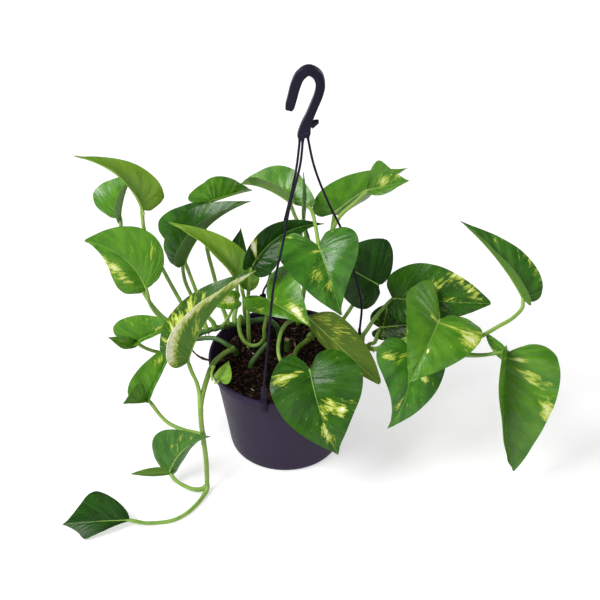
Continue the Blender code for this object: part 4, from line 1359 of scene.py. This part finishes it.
# each leaf's green, which on the lighter tones also holds painted sheen and painted light, how
# freely it is flecked, and its patches
LOOKS = {
    "leaf_top_left": Look(Tone.LIT_LIME, -0.04, ((0.6, -0.9, 0.3, 0.12, 0.25),
        (0.45, 0.6, 0.04, 0.3, 0.2), (0.6, 0.4, 0.05, 0.3, 0.2))),
    "leaf_far_left": Look(Tone.BRIGHT, -0.10),
    "leaf_left": Look(Tone.BRIGHT, -0.02, ((0.72, -0.95, 0.08, 0.22, 0.42),
        (0.62, -0.7, 0.09, 0.22, 0.45), (0.53, -0.42, 0.05, 0.2, 0.35),
        (0.52, 0.74, 0.03, 0.2, 0.28))),
    "leaf_low_left": Look(Tone.BRIGHT, 0.0, ((0.78, -0.25, 0.1, 0.25, 0.35),
        (0.55, -0.8, 0.1, 0.2, 0.15))),
    "leaf_front_left": Look(Tone.MARBLED, 0.06, ((0.62, -0.75, 0.12, 0.35, 0.24),
        (0.5, -0.6, 0.10, 0.3, 0.16), (0.42, 0.85, 0.13, 0.34, 0.85), (0.62, 0.95, 0.10, 0.2, 0.5),
        (0.80, 0.9, 0.12, 0.26, 0.5), (0.93, 0.6, 0.07, 0.5, 0.6), (0.66, 0.3, 0.03, 0.3, 0.3))),
    "leaf_lower_left": Look(Tone.BRIGHT, -0.08, ((0.75, -0.6, 0.06, 0.3, 0.45),)),
    "leaf_trail_upper": Look(Tone.MID, 0.0, ((0.7, -0.5, 0.08, 0.3, 0.2),
        (0.8, -0.7, 0.05, 0.2, 0.2))),
    "leaf_trail_end": Look(Tone.DEEP, -0.05),
    "leaf_high_left": Look(Tone.BRIGHT, -0.1),
    "leaf_back_left": Look(Tone.MID, -0.1),
    "leaf_folded_left": Look(Tone.DARK, -0.12),
    "leaf_centre_left": Look(Tone.LIT_LIME, 0.0, ((0.56, -1.0, 0.05, 0.25, 0.5),
        (0.7, 0.5, 0.05, 0.2, 0.26), (0.95, 0.0, 0.05, 0.8, 0.45))),
    "leaf_small_left": Look(Tone.BRIGHT, 0.05, ((0.62, 0.1, 0.14, 0.5, 0.7),)),
    "leaf_small_back": Look(Tone.DARK, -0.1),
    "leaf_back_centre": Look(Tone.DEEP, -0.1, ((0.53, -0.6, 0.02, 0.6, 1.0),)),
    "leaf_centre": Look(Tone.MID, -0.02, ((0.52, 0.1, 0.03, 0.16, 0.6),
        (0.30, 0.85, 0.03, 0.12, 0.35), (0.28, -0.81, 0.02, 0.12, 0.35),
        (0.69, 0.45, 0.06, 0.3, 0.38), (0.81, 0.14, 0.06, 0.3, 0.36))),
    "leaf_back_top": Look(Tone.BRIGHT, -0.1),
    "leaf_back_right": Look(Tone.BRIGHT, -0.1),
    "leaf_back_right_small": Look(Tone.BRIGHT, 0.02, ((0.69, -0.35, 0.1, 0.4, 0.42),
        (0.81, -0.96, 0.06, 0.3, 0.35))),
    "leaf_right_back": Look(Tone.DEEP, -0.08),
    "leaf_right": Look(Tone.DARK, 0.02, ((0.72, -0.97, 0.05, 0.2, 0.42),
        (0.82, -0.84, 0.05, 0.2, 0.42), (0.68, -0.49, 0.05, 0.25, 0.34),
        (0.83, -0.06, 0.04, 0.2, 0.26), (0.90, -0.54, 0.04, 0.25, 0.3))),
    "leaf_right_dark": Look(Tone.DEEP, 0.12),
    "leaf_front_right": Look(Tone.BRIGHT, 0.0, ((0.53, -0.80, 0.06, 0.26, 0.62),
        (0.50, -0.21, 0.03, 0.3, 0.38), (0.66, 1.0, 0.02, 0.1, 0.5),
        (0.77, -0.12, 0.015, 0.06, 0.9), (0.51, 0.21, 0.03, 0.15, 0.38))),
    "leaf_low_right": Look(Tone.MID, 0.03, ((0.53, 0.2, 0.03, 0.2, 0.45),
        (0.48, 0.59, 0.03, 0.25, 0.42), (0.62, -0.47, 0.03, 0.2, 0.42),
        (0.80, 0.48, 0.04, 0.2, 0.35))),
    "leaf_far_right": Look(Tone.MID, -0.04, ((0.55, 0.9, 0.2, 0.2, 0.24),)),
    "leaf_low_far_right": Look(Tone.BRIGHT, -0.02, ((0.46, -0.21, 0.03, 0.2, 0.48),
        (0.55, -0.49, 0.025, 0.3, 0.5), (0.62, -0.88, 0.03, 0.2, 0.45),
        (0.66, -1.0, 0.03, 0.15, 0.4))),
    "leaf_front": Look(Tone.DARK, 0.0, ((0.45, 0.6, 0.035, 0.35, 0.5),
        (0.40, 0.26, 0.02, 0.2, 0.4), (0.70, -0.69, 0.035, 0.14, 0.58),
        (0.70, -0.35, 0.04, 0.2, 0.40), (0.75, -0.12, 0.03, 0.15, 0.4),
        (0.84, 0.23, 0.05, 0.3, 0.42), (0.88, 0.0, 0.07, 0.5, 0.25))),
    "leaf_underside": Look(Tone.OLIVE, 0.02, ((0.42, 0.3, 0.1, 0.5, 0.22),
        (0.6, 0.5, 0.12, 0.4, 0.24), (0.72, -0.3, 0.1, 0.5, 0.22), (0.5, -0.6, 0.06, 0.3, 0.24))),
    "leaf_middle": Look(Tone.BRIGHT, 0.0, ((0.80, -0.4, 0.07, 0.3, 0.75),
        (0.62, -0.09, 0.04, 0.2, 0.3), (0.57, 0.74, 0.04, 0.2, 0.3), (0.92, 0.0, 0.06, 0.6, 0.7))),
    "leaf_bud": Look(Tone.YOUNG, -0.1),
}
# what a stem grows from, where it isn't the soil
SHOOT_PARENTS = {"shoot": "vine_trailing", "vine_trailing": "vine_middle_left"}
# how thin a stem ends, against its radius
STEM_ENDS = {"new_leaf": 0.25, "shoot": 0.5}
# the stems in the darker green of old wood
DARK_STEMS = ("vine_back_left", "vine_middle_left", "stem_cut", "stem_stub", "new_leaf")
# how thick the rolled leaf is along its length, against its radius
NEW_LEAF_SWELL = ((0, 0.1, 0.35, 0.42, 0.7, 1.0), (1.0, 0.8, 0.7, 0.95, 1.2, 0.12))
# a petiole's radius, from its sheath to its joint and on under the midrib
LONG_STALK = (2.7, 2.6, 2.1, 1.8, 2.0, 1.6, 0.9, 0.2)
SHORT_STALK = (2.2, 1.8, 0.9, 0.2)
LONG_FROM = 36.0  # how long a petiole is before it swells at both ends


@dataclass
class Foliage:
    """Every stem and leaf of the plant."""

    grid: tuple[int, int] = (72, 36)  # a blade's faces along and across
    small_grid: tuple[int, int] = (36, 16)
    swell: float = 0.55  # how far a node stands out round a vine 5 mm thick
    swell_length: float = 3.0
    neck: float = 0.22  # how far the vine draws in past it
    neck_length: float = 1.4
    neck_past: float = 5.0
    stubs: int = 3  # aerial roots at each node
    stub_reach: Pair = (1.2, 3.0)
    blades: dict[Tone, tuple[Material, Material]] = field(default_factory=dict)
    skins: dict[str, Material] = field(default_factory=dict)

    def finish_of(self, tone: Tone) -> tuple[Material, Material]:
        """Gives a tone's upper and under finish, built once.

        Args:
            tone: The leaf's green.

        Returns:
            The finishes of the upper and the under side.
        """
        if tone not in self.blades:
            self.blades[tone] = (Blade(tone).side(False), Blade(tone).side(True))
        return self.blades[tone]

    def skin(self, look: Stalk | Fibre) -> Material:
        """Gives a stem's or a root's finish, built once.

        Args:
            look: The finish.

        Returns:
            Its material.
        """
        if look.name not in self.skins:
            self.skins[look.name] = look.build()
        return self.skins[look.name]

    def nearest(self, parent: str, point: Array) -> tuple[Array, Array, float]:
        """Finds the nearest place on a stem's centre line.

        Args:
            parent: The stem.
            point: The place to look from.

        Returns:
            The place, the stem's direction there and its share of the length.
        """
        last = 399
        line = smooth(STEMS[parent][1], np.linspace(0, 1, last + 1))
        n = int(np.argmin(np.linalg.norm(line - point, axis=1)))
        n = min(max(n, 1), last - 1)
        return line[n], unit(line[n + 1] - line[n - 1]), n / last

    def started(self, parent: str | None, typed: tuple[Point, ...]) -> list[Array]:
        """Starts a centre line inside what it grows from.

        Args:
            parent: The stem, "soil", or None where the line is typed from inside.
            typed: The centre line as typed, from outside its parent.

        Returns:
            The centre line's points.
        """
        path = [np.array(p, float) for p in typed]
        if parent == "soil":
            path[0][2] = SOIL_TOP - SUNK
        elif parent is not None:
            centre, along, _ = self.nearest(parent, path[0])
            away = path[1] - centre
            away = unit(away - (away @ along) * along)
            clear = STEMS[parent][0] + GAP + 2.5
            path[:1] = [centre + 0.5 * away, centre + away * clear]
        return path

    def stem(self, name: str) -> Thing:
        """Grows a vine, stub or shoot, swollen at the nodes that its leaves come from.

        Args:
            name: The stem.

        Returns:
            The stem, with its aerial roots.
        """
        radius, typed = STEMS[name]
        parent = "soil" if typed[0][2] == SOIL_TOP else SHOOT_PARENTS.get(name)
        line = even(self.started(parent, typed), step=1.6)
        share = np.linspace(0, 1, len(line))
        length = np.linalg.norm(np.diff(line, axis=0), axis=1).sum()
        taper = ((0, 1), (1.04, STEM_ENDS.get(name, 0.92)))
        thick = radius * np.interp(share, *(NEW_LEAF_SWELL if name == "new_leaf" else taper))
        nodes = [self.nearest(name, np.array(points[0], float))[2]
                 for above, points in PETIOLES.values() if above == name]
        for at in nodes:
            past = (share - at) * length
            thick += self.swell * np.exp(-((past / self.swell_length) ** 2)) * (radius / 2.5)
            thick -= self.neck * np.exp(-(((past - self.neck_past) / self.neck_length) ** 2))
        thick += 0.05 * np.sin(share * length * 0.9)
        look = YOUNG if name == "shoot" else DARK_VINE if name in DARK_STEMS else VINE
        stem = dress(tube(name + "_stem", line, thick, sides=18), self.skin(look))
        rooted = nodes if name.startswith("vine") else []
        return joined(name + "_stem", [stem, *self.stub_roots(line, radius, rooted, len(name))])

    def stub_roots(self, line: Array, radius: float, nodes: list[float], seed: int) -> list[Thing]:
        """Grows short aerial roots round a vine's nodes.

        Args:
            line: The vine's centre line.
            radius: Its radius.
            nodes: Where its nodes are, as shares of its length.
            seed: Fixes where the roots point.

        Returns:
            The roots.
        """
        rng = np.random.default_rng(seed)
        roots = []
        for at in nodes:
            n = int(at * (len(line) - 1))
            for k in range(self.stubs):
                turn = heading(rng.uniform(0, 360), rng.uniform(-60, 20))
                start = line[min(n + 2 * k, len(line) - 1)]
                reach = rng.uniform(*self.stub_reach)
                inside = start + turn * radius * 0.7
                halfway = start + turn * (radius + reach * 0.5)
                end = start + turn * (radius + reach) + (0, 0, -0.6)
                root = smooth(np.array([inside, halfway, end]), np.linspace(0, 1, 6))
                root = tube("nub", root, np.linspace(0.75, 0.25, 6), sides=7)
                roots.append(dress(root, self.skin(ROOT)))
        return roots

    def dry_root(self) -> Thing:
        """Lays a withered aerial root from the old vine over the pot's rim.

        Returns:
            The root.
        """
        typed = ((-87, 22, 106), (-92, 14, 108), (-91.5, 5, 107.5), (-86, -1, 104.8),
                 (-79.5, -6, 104.6), (-74, -10.5, 106.4), (-69, -12, 103.5))
        share = np.linspace(0, 1, 34)
        thick = np.interp(share, (0, 0.35, 0.55, 0.72, 0.9, 1), (0.55, 0.6, 0.9, 1.5, 0.9, 0.4))
        knots = 0.08 * np.sin(share * 47)
        root = tube("dry_root", smooth(typed, share), thick + knots, sides=9)
        return dress(root, self.skin(ROOT))

    def cut_face(self) -> Thing:
        """Dries the cut across the stub to a pale, corky disc.

        Returns:
            The disc.
        """
        x, y, z = STEMS["stem_stub"][1][-1]
        line = np.array([(x, y, z - 0.6), (x, y, z + 0.25), (x + 0.1, y, z + 0.5)])
        return dress(tube("stub_cut", line, np.array([2.5, 2.5, 2.1]), sides=18), CORK.build())

    def blade(self, name: str) -> Thing:
        """Shapes one blade as a grid, with its veins, waves and colours.

        Args:
            name: The leaf, or its lobe.

        Returns:
            The blade.
        """
        leaf, look = LEAVES[name], LOOKS[name.split("/")[0]]
        seed = float(sum(map(ord, name)) % 97) * 0.61
        grid = self.small_grid if leaf.small() else self.grid
        obj, t, v = sheet(name.replace("/", "_") + "_blade", *grid)
        v = 2 * v - 1
        lie = leaf.surface(t, v, seed, relief=1.0)
        place(obj, lie.points)
        patch = np.full(len(t), look.spread)
        for vein, across, long, wide, strength in look.patches:
            off = -(((t - vein) / long) ** 2) - (((v - across) / wide) ** 2)
            patch += strength * np.exp(off)
        note(obj, "leaf", t, v, np.full(len(t), seed))
        note(obj, "spot", patch, np.abs(lie.y), lie.x)
        with editing():
            weld(within=0.03, least=0.002)
            bpy.ops.mesh.select_all(action="SELECT")
            bpy.ops.mesh.flip_normals()
        dress(obj, *self.finish_of(look.tone))
        apply(obj, "SOLIDIFY", thickness=BLADE_THICKNESS * MM, offset=-1.0, material_offset=1,
              material_offset_rim=1)
        soften(60)
        return obj

    def stalk(self, name: str) -> Thing:
        """Grows a petiole from its sheath to the blade and on along the midrib.

        Args:
            name: The leaf.

        Returns:
            The petiole.
        """
        leaf, (parent, typed) = LEAVES[name], PETIOLES[name]
        spine = leaf.spine(upto=0.93, under=0.55)
        face = leaf.surface(np.array([0.0]), np.array([0.0])).out[0]
        line = even([*self.started(parent, typed), spine[0] - face * 0.4], step=1.8)
        whole = np.vstack([line, spine[2::2]])
        away = travelled(whole)
        joint, end = away[len(line) - 1], away[-1]
        if joint > LONG_FROM:
            at = (0, 4, 14, joint - 16, joint - 5, joint, joint + 4, end)
            thick = np.interp(away, at, LONG_STALK)
        else:
            thick = np.interp(away, (0, joint, joint + 5, end), SHORT_STALK)
        bud = name == "leaf_bud"
        size = 0.55 if bud else 0.75 if leaf.small() else 1.0
        obj = tube(name + "_petiole", whole, size * thick, sides=12, groove=0.12)
        return dress(obj, self.skin(YOUNG if bud else STALK))

    def build(self) -> dict[str, list[Thing]]:
        """Builds all stems and leaves, under the nodes that they stand for.

        Returns:
            The pieces by node.
        """
        made = {name: [self.stem(name)] for name in STEMS}
        made["vine_middle_left"].append(self.dry_root())
        made["stem_stub"].append(self.cut_face())
        for name in PETIOLES:
            made[name] = [self.blade(name), self.stalk(name)]
            if name + "/lobe" in LEAVES:
                made[name].append(self.blade(name + "/lobe"))
        return made


# --- the studio ------------------------------------------------------------------
# each light's place in metres, its width in metres and its power in watts
LIGHTS = {
    "key": ((-1.5, -0.9, 2.3), 1.3, 80.0),
    "front": ((0.6, -2.2, 1.6), 1.6, 9.0),
    "back_left": ((-1.9, 1.3, 1.5), 1.2, 13.0),
    "back_right": ((1.9, 1.9, 1.0), 1.2, 12.0),
}


@dataclass
class Studio:
    """A pale floor, soft light mostly from the upper left, and the camera."""

    target: Point = (14.7, 0.0, 172.5)
    distance: float = 1500.0
    height: float = 37.76
    field_of_view: float = 21.6
    floor_size: float = 60.0  # in metres
    floor_colour: str = "#cacaca"
    floor_glow: float = 0.53
    room: float = 0.27
    lit: Point = (0, 0, 0.15)  # what the lights look at, in metres

    def build(self) -> None:
        """Sets up the floor, the lights and the camera."""
        self.floor()
        self.lights()
        self.camera()
        bpy.context.scene.view_settings.view_transform = "Standard"

    def floor(self) -> None:
        """Lays a wide, plain, pale floor."""
        floor = primitive(bpy.ops.mesh.primitive_plane_add, "floor", size=self.floor_size)
        dress(floor, Mix("pale_floor").done({
            "Base Color": linear(self.floor_colour),
            "Roughness": 0.9,
            "Specular IOR Level": 0.1,
            "Emission Color": (1, 1, 1, 1),
            "Emission Strength": self.floor_glow,
        }))

    def lights(self) -> None:
        """Hangs a large soft light at the upper left and three weak ones, in a pale room."""
        world = bpy.data.worlds.new("room")
        bpy.context.scene.world = world
        world.use_nodes = True
        fill(world.node_tree.nodes["Background"], {0: (1, 1, 1, 1), 1: self.room})
        for name, (at, size, power) in LIGHTS.items():
            bpy.ops.object.light_add(type="AREA", location=at)
            light = bpy.context.object
            light.name = name
            light.data.size = size
            light.data.energy = power
            to_plant = Vector(self.lit) - Vector(at)
            light.rotation_euler = to_plant.to_track_quat("-Z", "Y").to_euler()

    def camera(self) -> None:
        """Looks down at the plant from the front."""
        e = math.radians(self.height)
        away = Vector((0, -math.cos(e), math.sin(e))) * self.distance * MM
        bpy.ops.object.camera_add(location=Vector(self.target) * MM + away)
        camera = bpy.context.object
        camera.rotation_euler = (-away).to_track_quat("-Z", "Y").to_euler()
        camera.data.sensor_fit = "HORIZONTAL"
        camera.data.angle = math.radians(self.field_of_view)
        bpy.context.scene.camera = camera


def carry(node: str, pieces: list[Thing]) -> None:
    """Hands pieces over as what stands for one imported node.

    Args:
        node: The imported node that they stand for.
        pieces: The pieces.
    """
    for piece in pieces:
        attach(piece, BODY)
        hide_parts(node)
        LOG.info("%s for %s: %d faces", piece.name, node, len(piece.data.polygons))


def main() -> None:
    """Builds every piece in order."""
    logging.basicConfig(level=logging.INFO, format="%(message)s")
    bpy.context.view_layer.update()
    carry("pot", [Pot().build()])
    carry("soil", Soil().build())
    for node, piece in Hanger().build().items():
        carry(node, [piece])
    for node, pieces in Foliage().build().items():
        for piece in pieces:
            carry(node, [piece])
    Studio().build()
    bpy.context.view_layer.update()


if __name__ == "__main__":
    main()
